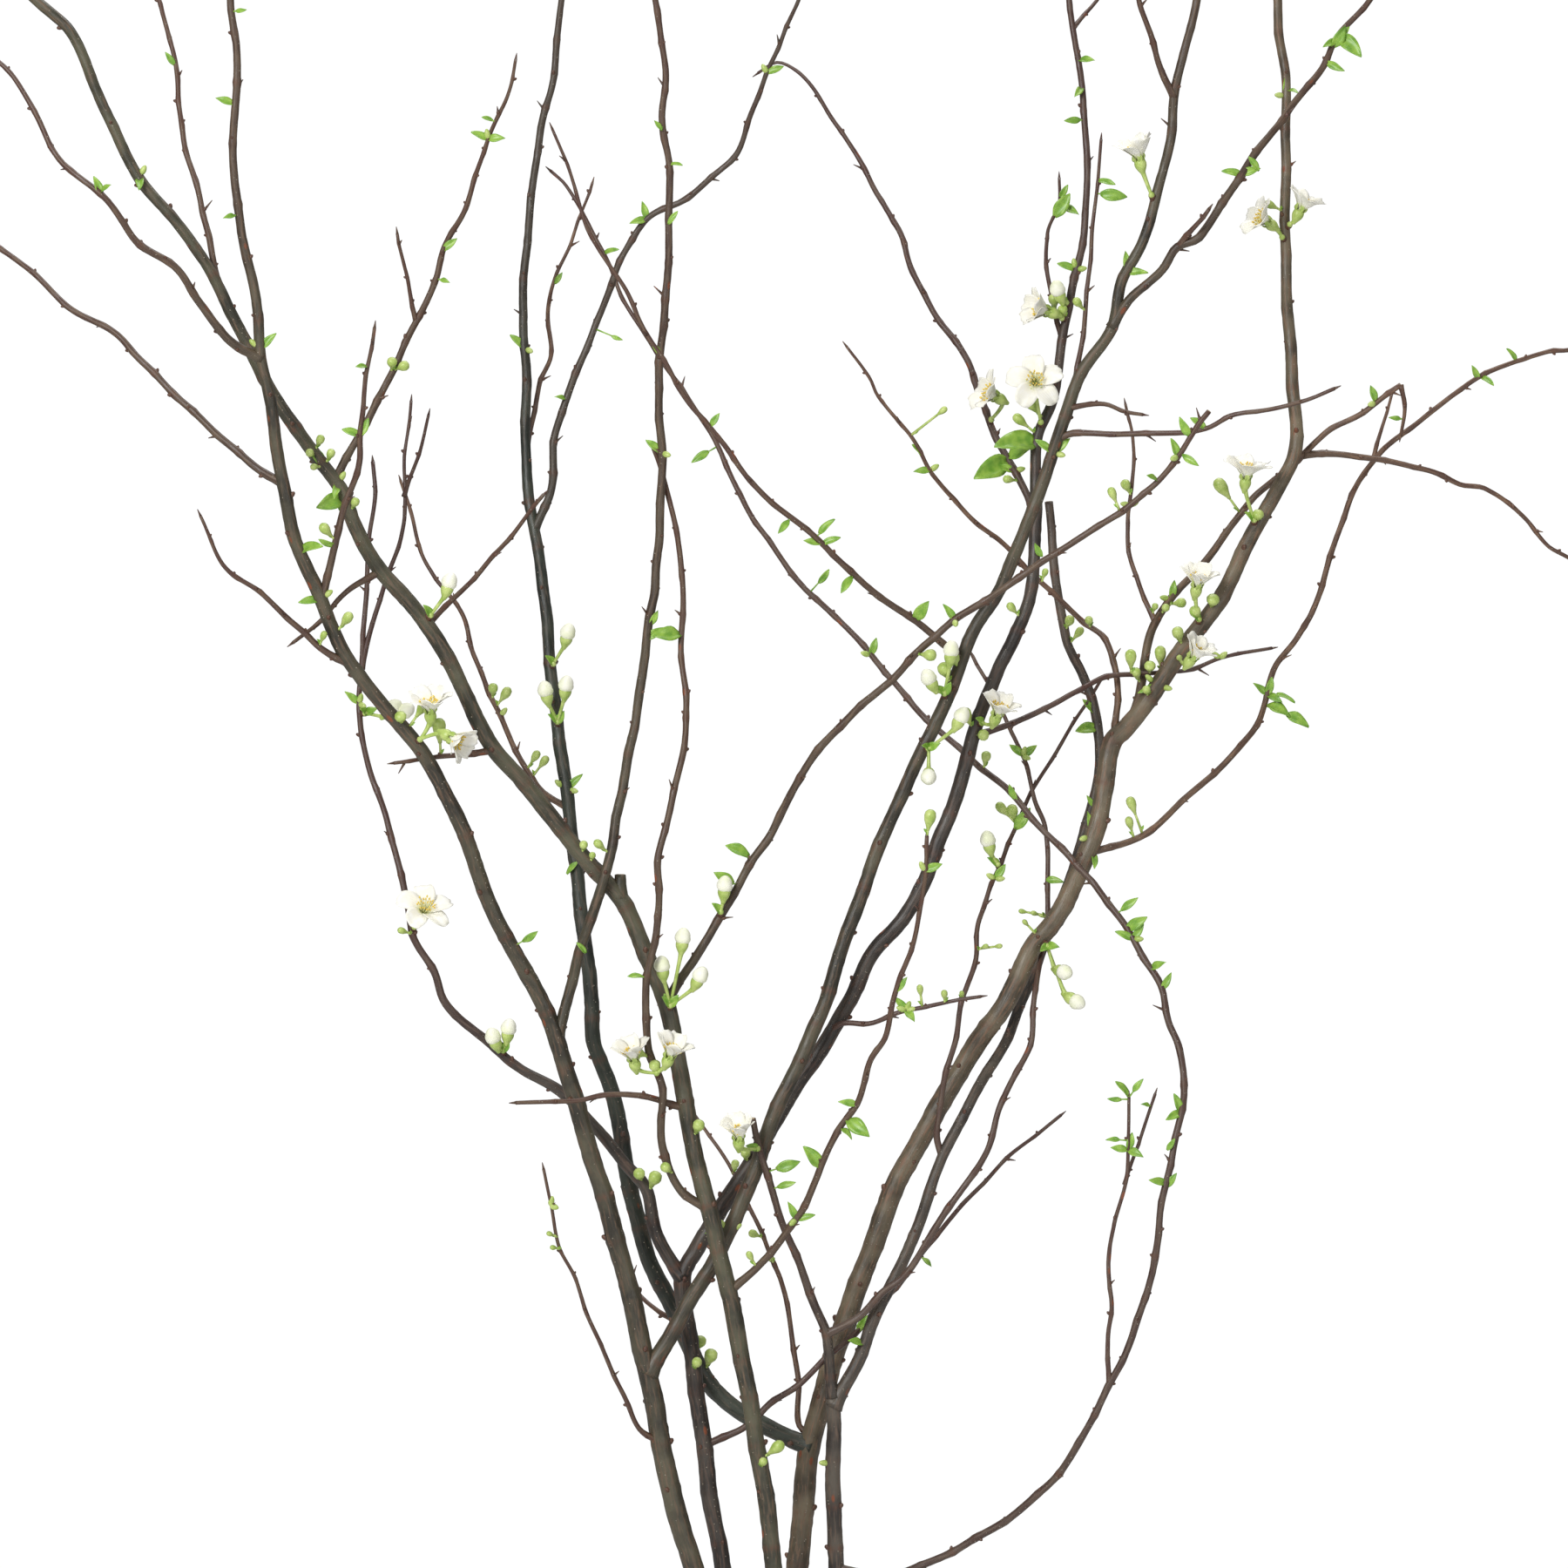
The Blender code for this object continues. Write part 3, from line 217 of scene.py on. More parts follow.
# Twigs of branch 3
grow("c_mid", 3, "c", (2.4, 2.0, 1.5), (0, -50, -62, -34, -44), [
    (-46, 205), (-60, 218), (-70, 242), (-70, 275), (-78, 300), (-79, 334), (-72, 374), (-72, 408),
    (-64, 441), (-56, 485), (-59, 529), (-58, 566), (-63, 600), (-70, 630), (-76, 646)])
grow("c_right", 3, "c", (2.6, 2.2, 2.0, 1.5), (0, -34, -62, -88, -108), [
    (-66, 324), (-54, 346), (-41, 366), (-18, 406), (-6, 424), (9, 454), (22, 472), (36, 487),
    (66, 514), (80, 529), (98, 544), (135, 568), (150, 579), (184, 600), (211, 620), (226, 638),
    (236, 653), (244, 664)])
grow("c_low_right", 3, "c", (2.2, 1.8, 1.2), (0, -62, -92), [
    (-31, 158), (-16, 172), (7, 200), (18, 222), (30, 250), (42, 266), (49, 290), (58, 304),
    (62, 324), (76, 366), (82, 408), (82, 420)])
grow("c_high_right", 3, "c", (2.4, 1.9, 1.0), (0, -18, 24), [
    (-255, 626), (-244, 650), (-232, 672), (-211, 716), (-200, 738), (-196, 756), (-184, 778),
    (-170, 820), (-159, 844), (-154, 866)])
grow("c_high_twig", 3, "c_high_right", (1.3, 0.9), (0, -44), [(-212, 716), (-216, 738), (-222, 766)])
grow("c_thin", 3, "c", (1.9, 1.5, 1.2), (0, -40, -16), [
    (-324, 734), (-335, 785), (-345, 822), (-350, 868), (-359, 900), (-364, 925)])
grow("c_thorn_high", 3, "c", (1.9, 1.0), (0, -62), [(-232, 572), (-249, 562), (-266, 544), (-282, 531)])
grow("c_thorn_low", 3, "c", (1.9, 1.0), (0, -58), [(-167, 469), (-192, 466), (-212, 464), (-224, 462)])
grow("c_cross_twig", 3, "c", (1.7, 1.2), (0, 4), [
    (-203, 542), (-182, 564), (-170, 577), (-157, 592), (-138, 616)])
grow("c_left_twig", 3, "c", (1.9, 1.1), (0, -64),
     [(-56, 264), (-78, 270), (-102, 272), (-120, 268), (-154, 267)])
grow("c_stub", 3, "c", (3.6, 3.2), (0, -26), [(-94, 384), (-94, 398)])

# Twigs of branch 1
grow("a_right_fork", 1, "a_right", (2.8, 2.2, 1.5), (0, -62, -34, -22), [
    (188, 712), (200, 730), (217, 745), (226, 758), (238, 764), (268, 808), (284, 829), (292, 840),
    (307, 858), (318, 879), (336, 900), (352, 925)])
grow("a_right_stub", 1, "a_right_fork", (1.6, 1.2), (0, -72), [(226, 758), (235, 769), (244, 780)])
grow("a_top_twig", 1, "a_right", (1.9, 1.3), (0, -84),
     [(224, 844), (215, 864), (210, 881), (204, 900), (200, 922)])
grow("a_level_twig", 1, "a_right", (1.8, 1.1), (0, -60, -84), [
    (156, 648), (166, 651), (211, 651), (242, 654), (259, 662), (284, 666), (300, 670), (316, 677)])
grow("a_burl_twig", 1, "a_right", (1.6, 1.0), (0, -58), [(162, 666), (184, 668), (196, 664), (206, 662)])
grow("a_rise_twig", 1, "a_right", (1.6, 0.9), (0, -10), [(166, 675), (172, 712), (177, 766), (182, 820)])
grow("a_fan_upper", 1, "a_right", (2.2, 1.7, 1.4, 0.9), (0, -56, -88, -104), [
    (102, 522), (80, 540), (60, 554), (40, 570), (22, 588), (-18, 622), (-32, 642), (-54, 668),
    (-66, 688), (-83, 716), (-92, 736), (-112, 766), (-120, 793), (-133, 826)])
grow("a_left_high", 1, "a", (2.6, 2.0, 1.6, 1.2), (0, -134, -122), [
    (-300, 694), (-320, 706), (-335, 726), (-348, 745), (-372, 762), (-390, 787), (-414, 806),
    (-429, 833), (-442, 856), (-450, 864), (-474, 880)])
grow("a_left_low", 1, "a", (2.2, 1.9, 1.4), (0, -72, -40), [
    (-290, 622), (-306, 634), (-332, 657), (-346, 670), (-368, 692), (-383, 708), (-408, 722),
    (-431, 743), (-450, 758), (-470, 772)])
grow("a_left_twig", 1, "a", (2.0, 1.5, 0.9), (0, -104), [
    (-249, 518), (-266, 528), (-278, 539), (-301, 560), (-322, 576), (-335, 604)])
grow("a_up_twig", 1, "a", (2.2, 1.7, 1.0), (0, -92, -108), [
    (-265, 555), (-261, 572), (-255, 600), (-244, 634), (-243, 653), (-240, 682), (-235, 712)])
grow("a_foot_twig", 1, "a", (1.6, 1.2, 0.9), (0, -56, -82), [
    (-73, 72), (-83, 80), (-92, 99), (-111, 141), (-120, 166), (-129, 185), (-134, 208), (-138, 229)])

# Twigs of branch 2
grow("b_left_fork", 2, "b_left", (1.6, 1.2, 0.9), (0, 54), [
    (-243, 516), (-234, 550), (-218, 600), (-218, 632), (-214, 670)])
grow("b_left_fork_tip", 2, "b_left_fork", (1.2, 0.9), (0, 20), [(-217, 615), (-209, 642), (-204, 662)])
grow("b_arch", 2, "b", (2.2, 1.9, 1.6, 0.9), (0, 78, 112, 124), [
    (145, 600), (141, 613), (133, 628), (120, 653), (112, 674), (106, 692), (84, 724), (72, 749),
    (66, 768), (53, 789), (45, 806), (28, 831), (18, 848), (7, 859), (-4, 864), (-15, 858)])
grow("b_level_twig", 2, "b", (1.7, 1.0), (0, -14), [(24, 302), (32, 312), (51, 313), (70, 320), (113, 328)])
grow("b_foot_twig", 2, "b", (2.0, 1.6, 1.0), (0, 6, 40, 74), [
    (-46, 70), (-24, 80), (-8, 94), (9, 106), (24, 120), (42, 136), (56, 152), (70, 168), (89, 193),
    (128, 235), (150, 253), (159, 260)])
grow("b_long_twig", 2, "b", (1.9, 1.5, 1.0), (0, 50, 84), [
    (108, 476), (128, 484), (150, 493), (169, 504), (188, 512), (230, 515), (250, 522), (280, 528)])
grow("b_top_twig", 2, "b", (1.3, 1.0), (0, 88), [(167, 884), (178, 898), (186, 912)])
grow("b_side_twig", 2, "b", (1.5, 0.9), (0, 78), [(158, 705), (152, 738), (151, 766), (158, 782), (158, 798)])

# Twigs of branch 4
grow("d_left_fork", 4, "d_left", (2.4, 2.0, 1.7, 1.0), (0, 66, 46, 82), [
    (-143, 596), (-134, 617), (-131, 652), (-116, 694), (-106, 718), (-94, 750), (-79, 774),
    (-58, 785), (-37, 802), (-26, 814), (-18, 837), (-8, 862), (8, 900), (16, 925)])
grow("d_left_twig", 4, "d_left", (1.7, 1.3, 0.9), (0, 128, 140), [
    (-147, 640), (-140, 680), (-134, 696), (-135, 728), (-122, 762), (-110, 795)])
grow("d_left_low_twig", 4, "d_left", (1.9, 1.5, 1.0), (0, 84, 112), [
    (-124, 436), (-140, 447), (-150, 462), (-163, 489), (-178, 524), (-184, 546), (-201, 570),
    (-209, 584), (-214, 607), (-220, 624)])
grow("d_short_twig", 4, "d_left", (1.6, 1.0), (0, 58), [(-60, 141), (-74, 149), (-84, 158), (-89, 178)])
grow("d_up_twig", 4, "d", (1.8, 1.5, 1.0), (0, 52, 84), [
    (15, 76), (9, 82), (8, 108), (3, 143), (-2, 166), (-10, 185), (-18, 204), (-35, 237), (-54, 264)])
grow("d_dark", 4, "d", (2.8, 2.2, 1.6), (0, 98, 84), [
    (192, 478), (200, 489), (206, 512), (211, 539), (222, 556), (246, 583), (268, 613), (284, 626),
    (312, 652), (330, 662), (354, 679)])
grow("d_dark_hang", 4, "d_dark", (1.3, 1.0), (0, 92), [(354, 679), (356, 665), (354, 650)])
grow("d_far_right", 4, "d_dark", (2.0, 1.5, 1.1), (0, 112, 128), [
    (299, 638), (322, 639), (342, 636), (370, 630), (388, 622), (402, 620), (426, 602), (439, 586),
    (450, 580), (470, 570)])
grow("d_right", 4, "d", (2.0, 1.9, 1.7, 1.3), (0, 92, 128, 138), [
    (174, 410), (196, 416), (211, 424), (232, 443), (257, 466), (270, 482), (276, 496), (282, 518),
    (294, 533), (303, 548), (312, 575), (320, 600), (330, 624), (338, 635), (351, 648), (370, 662),
    (393, 680), (418, 692), (439, 698), (450, 699), (475, 706)])
grow("d_right_twig", 4, "d_right", (1.4, 0.9), (0, 150), [(338, 635), (345, 661), (349, 674)])
grow("d_cross_twig", 4, "d", (2.0, 1.7, 1.4, 0.9), (0, 84, 58, 40), [
    (190, 476), (191, 512), (184, 533), (171, 544), (143, 570), (130, 584), (104, 606), (84, 630),
    (72, 651), (54, 672), (49, 684), (36, 701)])
grow("d_dark_twig", 4, "d_dark", (1.6, 0.9), (0, 110), [
    (211, 544), (200, 575), (197, 600), (200, 622), (200, 651), (196, 668)])

# Twigs of branch 5
grow("e_left", 5, "e", (3.2, 2.2, 1.8), (0, -6, -26), [
    (28, 98), (24, 134), (18, 150), (9, 174), (1, 193), (-6, 214), (-12, 233), (-18, 258)])
grow("e_high_twig", 5, "e_left", (2.2, 1.8, 1.5, 1.1), (0, -14, 18, 66, 88), [
    (24, 134), (42, 143), (56, 158), (70, 168), (84, 191), (104, 220), (118, 242), (124, 266),
    (141, 300), (144, 332), (151, 370), (150, 425), (144, 441), (137, 466), (118, 506), (108, 524)])
grow("e_mid_twig", 5, "e_right", (1.8, 1.4, 1.0), (0, 8, 70, 100), [
    (89, 236), (88, 248), (91, 275), (98, 302), (102, 324), (110, 350), (112, 372), (130, 418),
    (141, 443), (162, 478), (182, 510)])
grow("e_droop", 5, "e", (2.2, 2.1, 2.0, 1.9, 1.8, 1.5, 1.0), (0, -38, -50, 16, 84, 108, 120), [
    (30, -4), (52, -4), (76, 0), (122, 24), (150, 46), (166, 66), (178, 88), (198, 128), (206, 152),
    (213, 176), (216, 204), (226, 252), (230, 277), (226, 300), (221, 313), (217, 332), (208, 348),
    (192, 374), (167, 405), (150, 422), (128, 447), (110, 462), (76, 493), (62, 510), (32, 544),
    (12, 562), (-16, 600), (-26, 617), (-37, 642), (-50, 664), (-68, 690), (-92, 728), (-104, 756),
    (-125, 793), (-134, 802)])
grow("e_droop_twig", 5, "e_droop", (1.5, 1.0), (0, -66), [
    (186, 106), (186, 134), (188, 152), (186, 178), (190, 198), (196, 222), (198, 246), (198, 270)])
grow("e_droop_twig_tip", 5, "e_droop_twig", (1.1, 0.9), (0, -40), [(196, 220), (206, 252), (213, 272)])

# The wood. Each branch grew as one piece, so its stems, twigs, bud scars and thorns are one mesh.
# Old bark is dark and smooth, olive to grey brown, with rust-coloured specks and pale pores, and
# twigs are red brown. At every old bud the stem kinks a little and carries a small scarred knob.

# Radii in mm: old wood is thicker than this, twigs are thinner, and the thinnest end in a point
OLD_WOOD = 3.4
TWIG = 3.0
SLIM_TWIG = 2.4
POINTED = 1.4
# Distances along a stem in mm, and shares of its radius
RING_STEP = 3.0
OLD_WOOD_SIDES = 4
TWIG_SIDES = 2
FIRST_SCAR = (8, 16)
SCAR_SPACING = (14, 27)
OLD_SPACING = 1.3
LAST_SCAR = 6
KINK = 0.45
SCAR_REACH = 1.6
SLIM_SWELL = 0.22
SWELL = 0.07
COLLAR = 0.4
COLLAR_REACH = 5
UNEVEN = 0.06
# What grows along a stem in turn stands this many radians round from the one before
GOLDEN_TURN = 2.4
THORN_EVERY = 5
THORN_LENGTH = (3, 7)
BARE_TIP = 4
RUST = (0.2, 0.055, 0.02)
PALE_PORE = (0.3, 0.26, 0.2)
RED_SCAR = (0.11, 0.042, 0.022)


def node(tree, kind, **values):
    made = tree.nodes.new(kind)
    made.location = (-200 * len(tree.nodes), 0)
    for key, value in values.items():
        if key in made.inputs:
            made.inputs[key].default_value = value
        else:
            setattr(made, key, value)
    return made


def mixed(tree, factor, low, high):
    """A colour mix; each side is a colour or another node's output."""
    mix = node(tree, "ShaderNodeMix", data_type="RGBA")
    tree.links.new(factor, mix.inputs[0])
    for socket, value in ((mix.inputs[6], low), (mix.inputs[7], high)):
        if isinstance(value, tuple):
            socket.default_value = (*value, 1)
        else:
            tree.links.new(value, socket)
    return mix.outputs[2]


def ramp(tree, value, low, high, to_low=0.0, to_high=1.0):
    """A value spread out between two limits."""
    limits = {"From Min": low, "From Max": high, "To Min": to_low, "To Max": to_high}
    spread = node(tree, "ShaderNodeMapRange", **limits)
    tree.links.new(value, spread.inputs["Value"])
    return spread.outputs["Result"]


def worked_out(tree, operation, *values):
    """The result of a sum on other nodes' outputs."""
    made = node(tree, "ShaderNodeMath", operation=operation)
    for socket, value in zip(made.inputs, values):
        tree.links.new(value, socket)
    return made.outputs[0]


def object_place(tree):
    return node(tree, "ShaderNodeTexCoord").outputs["Object"]


def point_value(tree, name, output="Fac"):
    """What the mesh says at each of its points under this name."""
    return node(tree, "ShaderNodeAttribute", attribute_name=name).outputs[output]


def stretched(tree, coords, scale):
    mapping = node(tree, "ShaderNodeMapping", Scale=scale)
    tree.links.new(coords, mapping.inputs["Vector"])
    return mapping.outputs["Vector"]


def noise_of(tree, coords, scale, detail):
    made = node(tree, "ShaderNodeTexNoise", Scale=scale, Detail=detail)
    tree.links.new(coords, made.inputs["Vector"])
    return made.outputs["Fac"]


def specks(tree, coords, scale, size, share):
    """Small spots, one in each of this share of the cells of a cell pattern."""
    cells = node(tree, "ShaderNodeTexVoronoi", Scale=scale)
    tree.links.new(coords, cells.inputs["Vector"])
    spot = ramp(tree, cells.outputs["Distance"], size, size * 0.6)
    apart = node(tree, "ShaderNodeSeparateColor")
    tree.links.new(cells.outputs["Color"], apart.inputs[0])
    chosen = ramp(tree, apart.outputs[0], share, share - 0.02)
    return worked_out(tree, "MULTIPLY", spot, chosen)


def new_finish(name, roughness):
    made = bpy.data.materials.new(name)
    made.use_nodes = True
    shader = made.node_tree.nodes["Principled BSDF"]
    shader.inputs["Roughness"].default_value = roughness
    return made, made.node_tree, shader


def bumped(tree, height, shader, strength, depth):
    bump = node(tree, "ShaderNodeBump", Strength=strength, Distance=depth)
    tree.links.new(height, bump.inputs["Height"])
    tree.links.new(bump.outputs["Normal"], shader.inputs["Normal"])


def bark_finish(name, dark, mid, warm, twig):
    made, tree, shader = new_finish(name, 0.42)
    coords = point_value(tree, "bark_place", "Vector")
    broad = noise_of(tree, coords, 45, 4)
    streak = noise_of(tree, stretched(tree, coords, (1, 1, 0.14)), 700, 5)
    base = mixed(tree, ramp(tree, broad, 0.38, 0.62), dark, mid)
    base = mixed(tree, ramp(tree, streak, 0.5, 0.72), base, warm)
    tinted = mixed(tree, ramp(tree, streak, 0.42, 0.68), twig, warm)
    base = mixed(tree, point_value(tree, "thin"), base, tinted)
    rusty = specks(tree, stretched(tree, coords, (1, 1, 0.45)), 150, 0.2, 0.3)
    base = mixed(tree, rusty, base, RUST)
    pores = specks(tree, coords, 420, 0.18, 0.35)
    base = mixed(tree, pores, base, PALE_PORE)
    patchy = worked_out(tree, "MULTIPLY", point_value(tree, "scar"), ramp(tree, streak, 0.3, 0.55))
    tree.links.new(mixed(tree, patchy, base, RED_SCAR), shader.inputs["Base Color"])
    tree.links.new(ramp(tree, streak, 0.25, 0.8, 0.34, 0.62), shader.inputs["Roughness"])
    bumped(tree, worked_out(tree, "ADD", streak, pores), shader, 0.6, 0.0006)
    return made


BARK = {
    1: bark_finish("bark_brown", (0.026, 0.022, 0.014), (0.085, 0.074, 0.045), (0.13, 0.082, 0.05),
                   (0.075, 0.034, 0.024)),
    2: bark_finish("bark_dark", (0.02, 0.015, 0.012), (0.058, 0.047, 0.037), (0.11, 0.068, 0.048),
                   (0.07, 0.032, 0.025)),
    3: bark_finish("bark_olive_brown", (0.027, 0.025, 0.015), (0.088, 0.082, 0.048), (0.13, 0.085, 0.052),
                   (0.083, 0.038, 0.025)),
    4: bark_finish("bark_grey_brown", (0.055, 0.042, 0.025), (0.17, 0.135, 0.085), (0.2, 0.115, 0.068),
                   (0.085, 0.041, 0.027)),
    5: bark_finish("bark_grey", (0.029, 0.022, 0.018), (0.092, 0.076, 0.058), (0.13, 0.088, 0.062),
                   (0.077, 0.037, 0.027)),
}
OLIVE_BARK = bark_finish("bark_olive", (0.011, 0.014, 0.01), (0.04, 0.047, 0.033), (0.09, 0.07, 0.05),
                         (0.07, 0.042, 0.03))
CUT_WOOD, tree, shader = new_finish("cut_wood", 0.7)
grain_fan = noise_of(tree, object_place(tree), 900, 4)
pale_wood = mixed(tree, grain_fan, (0.36, 0.27, 0.16), (0.55, 0.45, 0.3))
tree.links.new(pale_wood, shader.inputs["Base Color"])


def bark_of(stem_name):
    return OLIVE_BARK if stem_name in ("d_left", "d_left_fork") else BARK[stems[stem_name]["branch"]]


def taken():
    """The points and faces of the shape just modelled, whose object then goes."""
    mesh = bpy.context.object.data
    places = np.empty(len(mesh.vertices) * 3, np.float32)
    mesh.vertices.foreach_get("co", places)
    faces = sorted(tuple(face.vertices) for face in mesh.polygons)
    bpy.data.objects.remove(bpy.context.object, do_unlink=True)
    return places.reshape(-1, 3).astype(float), faces


bpy.ops.mesh.primitive_uv_sphere_add(segments=7, ring_count=5, radius=1)
KNOB = taken()
bpy.ops.mesh.primitive_cylinder_add(vertices=5, radius=1, depth=2)
THREAD = taken()


def bit(shape, places, finish, **values):
    """One small closed body of a mesh: a modelled shape's faces with its points at new places."""
    values = {key: value if np.ndim(value) else np.full(len(places), value) for key, value in values.items()}
    return {"places": places, "faces": shape[1], "finish": finish, "values": values}


def assembled(name, bits, slot, *nodes):
    """One object of many small bodies, which stands for these nodes and rides with the vase."""
    starts = np.cumsum([0] + [len(one["places"]) for one in bits])
    mesh = bpy.data.meshes.new(name)
    faces = [[corner + start for corner in face]
             for one, start in zip(bits, starts) for face in one["faces"]]
    mesh.from_pydata(np.concatenate([one["places"] for one in bits]).tolist(), [], faces)
    finishes = list(dict.fromkeys(one["finish"] for one in bits))
    for finish in finishes:
        mesh.materials.append(finish)
    surface = [finishes.index(one["finish"]) for one in bits for _ in one["faces"]]
    mesh.polygons.foreach_set("material_index", surface)
    for key in dict.fromkeys(key for one in bits for key in one["values"]):
        wide = key == "bark_place"
        plain = [one["places"] if wide else np.zeros(len(one["places"])) for one in bits]
        values = np.concatenate([one["values"].get(key, usual) for one, usual in zip(bits, plain)])
        layer = mesh.attributes.new(key, "FLOAT_VECTOR" if wide else "FLOAT", "POINT")
        layer.data.foreach_set("vector" if wide else "value", values.astype(np.float32).ravel())
    mesh.shade_smooth()
    made = bpy.data.objects.new(name, mesh)
    bpy.context.scene.collection.objects.link(made)
    return dressed(made, slot, *nodes)


def dressed(made, slot, *nodes):
    if nodes:
        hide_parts(*nodes)
    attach(made, "root")
    return made


def placed(shape, local, root, direction, finish, **values):
    """A modelled shape with its points at local places in mm, its +Z turned to this direction."""
    turn = np.array(Vector((0, 0, 1)).rotation_difference(direction).to_matrix())
    return bit(shape, np.array(root) + local @ turn.T * MM, finish, **values)


def thread(start, end, thick, thin_end, finish, **values):
    """A straight slim stalk between two points."""
    way = end - start
    share = (THREAD[0][:, 2] + 1) / 2
    width = (thick + (thin_end - thick) * share)[:, None]
    local = np.hstack([THREAD[0][:, :2] * width, (share * way.length / MM)[:, None]])
    return placed(THREAD, local, start, way.normalized(), finish, **values)


def drawn_tube(places, radii, sides, kind="POLY"):
    """A round tube drawn as a bevelled curve and made a mesh, with its loose end caps welded on."""
    bpy.ops.object.select_all(action="DESELECT")
    bpy.ops.curve.primitive_nurbs_path_add()
    shape = bpy.context.object.data
    shape.splines.clear()
    line = shape.splines.new(kind)
    line.points.add(len(places) - 1)
    line.points.foreach_set("co", np.hstack([np.array(places), np.ones((len(places), 1))]).ravel())
    line.points.foreach_set("radius", np.array(radii) * MM)
    if kind == "NURBS":
        line.order_u = 3
        line.use_endpoint_u = True
        line.resolution_u = 4
    shape.bevel_depth = 1
    shape.bevel_resolution = sides
    shape.use_fill_caps = True
    bpy.ops.object.convert(target="MESH")
    loose, faces = taken()
    in_caps = 2 * (4 + 2 * sides)
    rings = loose[in_caps:]
    welded = [int(np.linalg.norm(rings - place, axis=1).argmin()) for place in loose[:in_caps]]
    faces = [[welded[c] if c < in_caps else c - in_caps for c in face] for face in faces]
    return rings, faces


def smooth_run(stem):
    """Spots close together on one smooth curve through the stem's laid points, with radii in mm."""
    laid = [seen(x, height, depth) for (x, height), depth in zip(stem["flat"], stem["depth"])]
    radii = list(stem["radius"])
    if stem["foot"]:
        x, depth = stem["foot"]
        laid.insert(0, Vector((x, depth, STEM_FOOT)) * MM)
        radii.insert(0, radii[0] + 0.5)
    laid = np.array(laid)
    steps = np.linalg.norm(np.diff(laid, axis=0), axis=1)
    steps = np.concatenate([steps[:1], steps, steps[-1:]])
    padded = np.vstack([2 * laid[0] - laid[1], laid, 2 * laid[-1] - laid[-2]])
    spots, sizes = [], []
    for i in range(len(laid) - 1):
        before, start, end, after = padded[i : i + 4]
        length = steps[i + 1]
        leave = (end - before) / (length + steps[i]) * length
        arrive = (after - start) / (length + steps[i + 2]) * length
        for t in np.arange(0, 1, 1 / max(2, round(length / MM / RING_STEP))):
            near = 2 * t**3 - 3 * t**2 + 1
            lean = leave * (t**3 - 2 * t**2 + t) + arrive * (t**3 - t**2)
            spots.append(start * near + end * (1 - near) + lean)
            sizes.append(radii[i] + (radii[i + 1] - radii[i]) * t)
    spots.append(laid[-1])
    sizes.append(radii[-1])
    return np.array(spots), np.array(sizes)


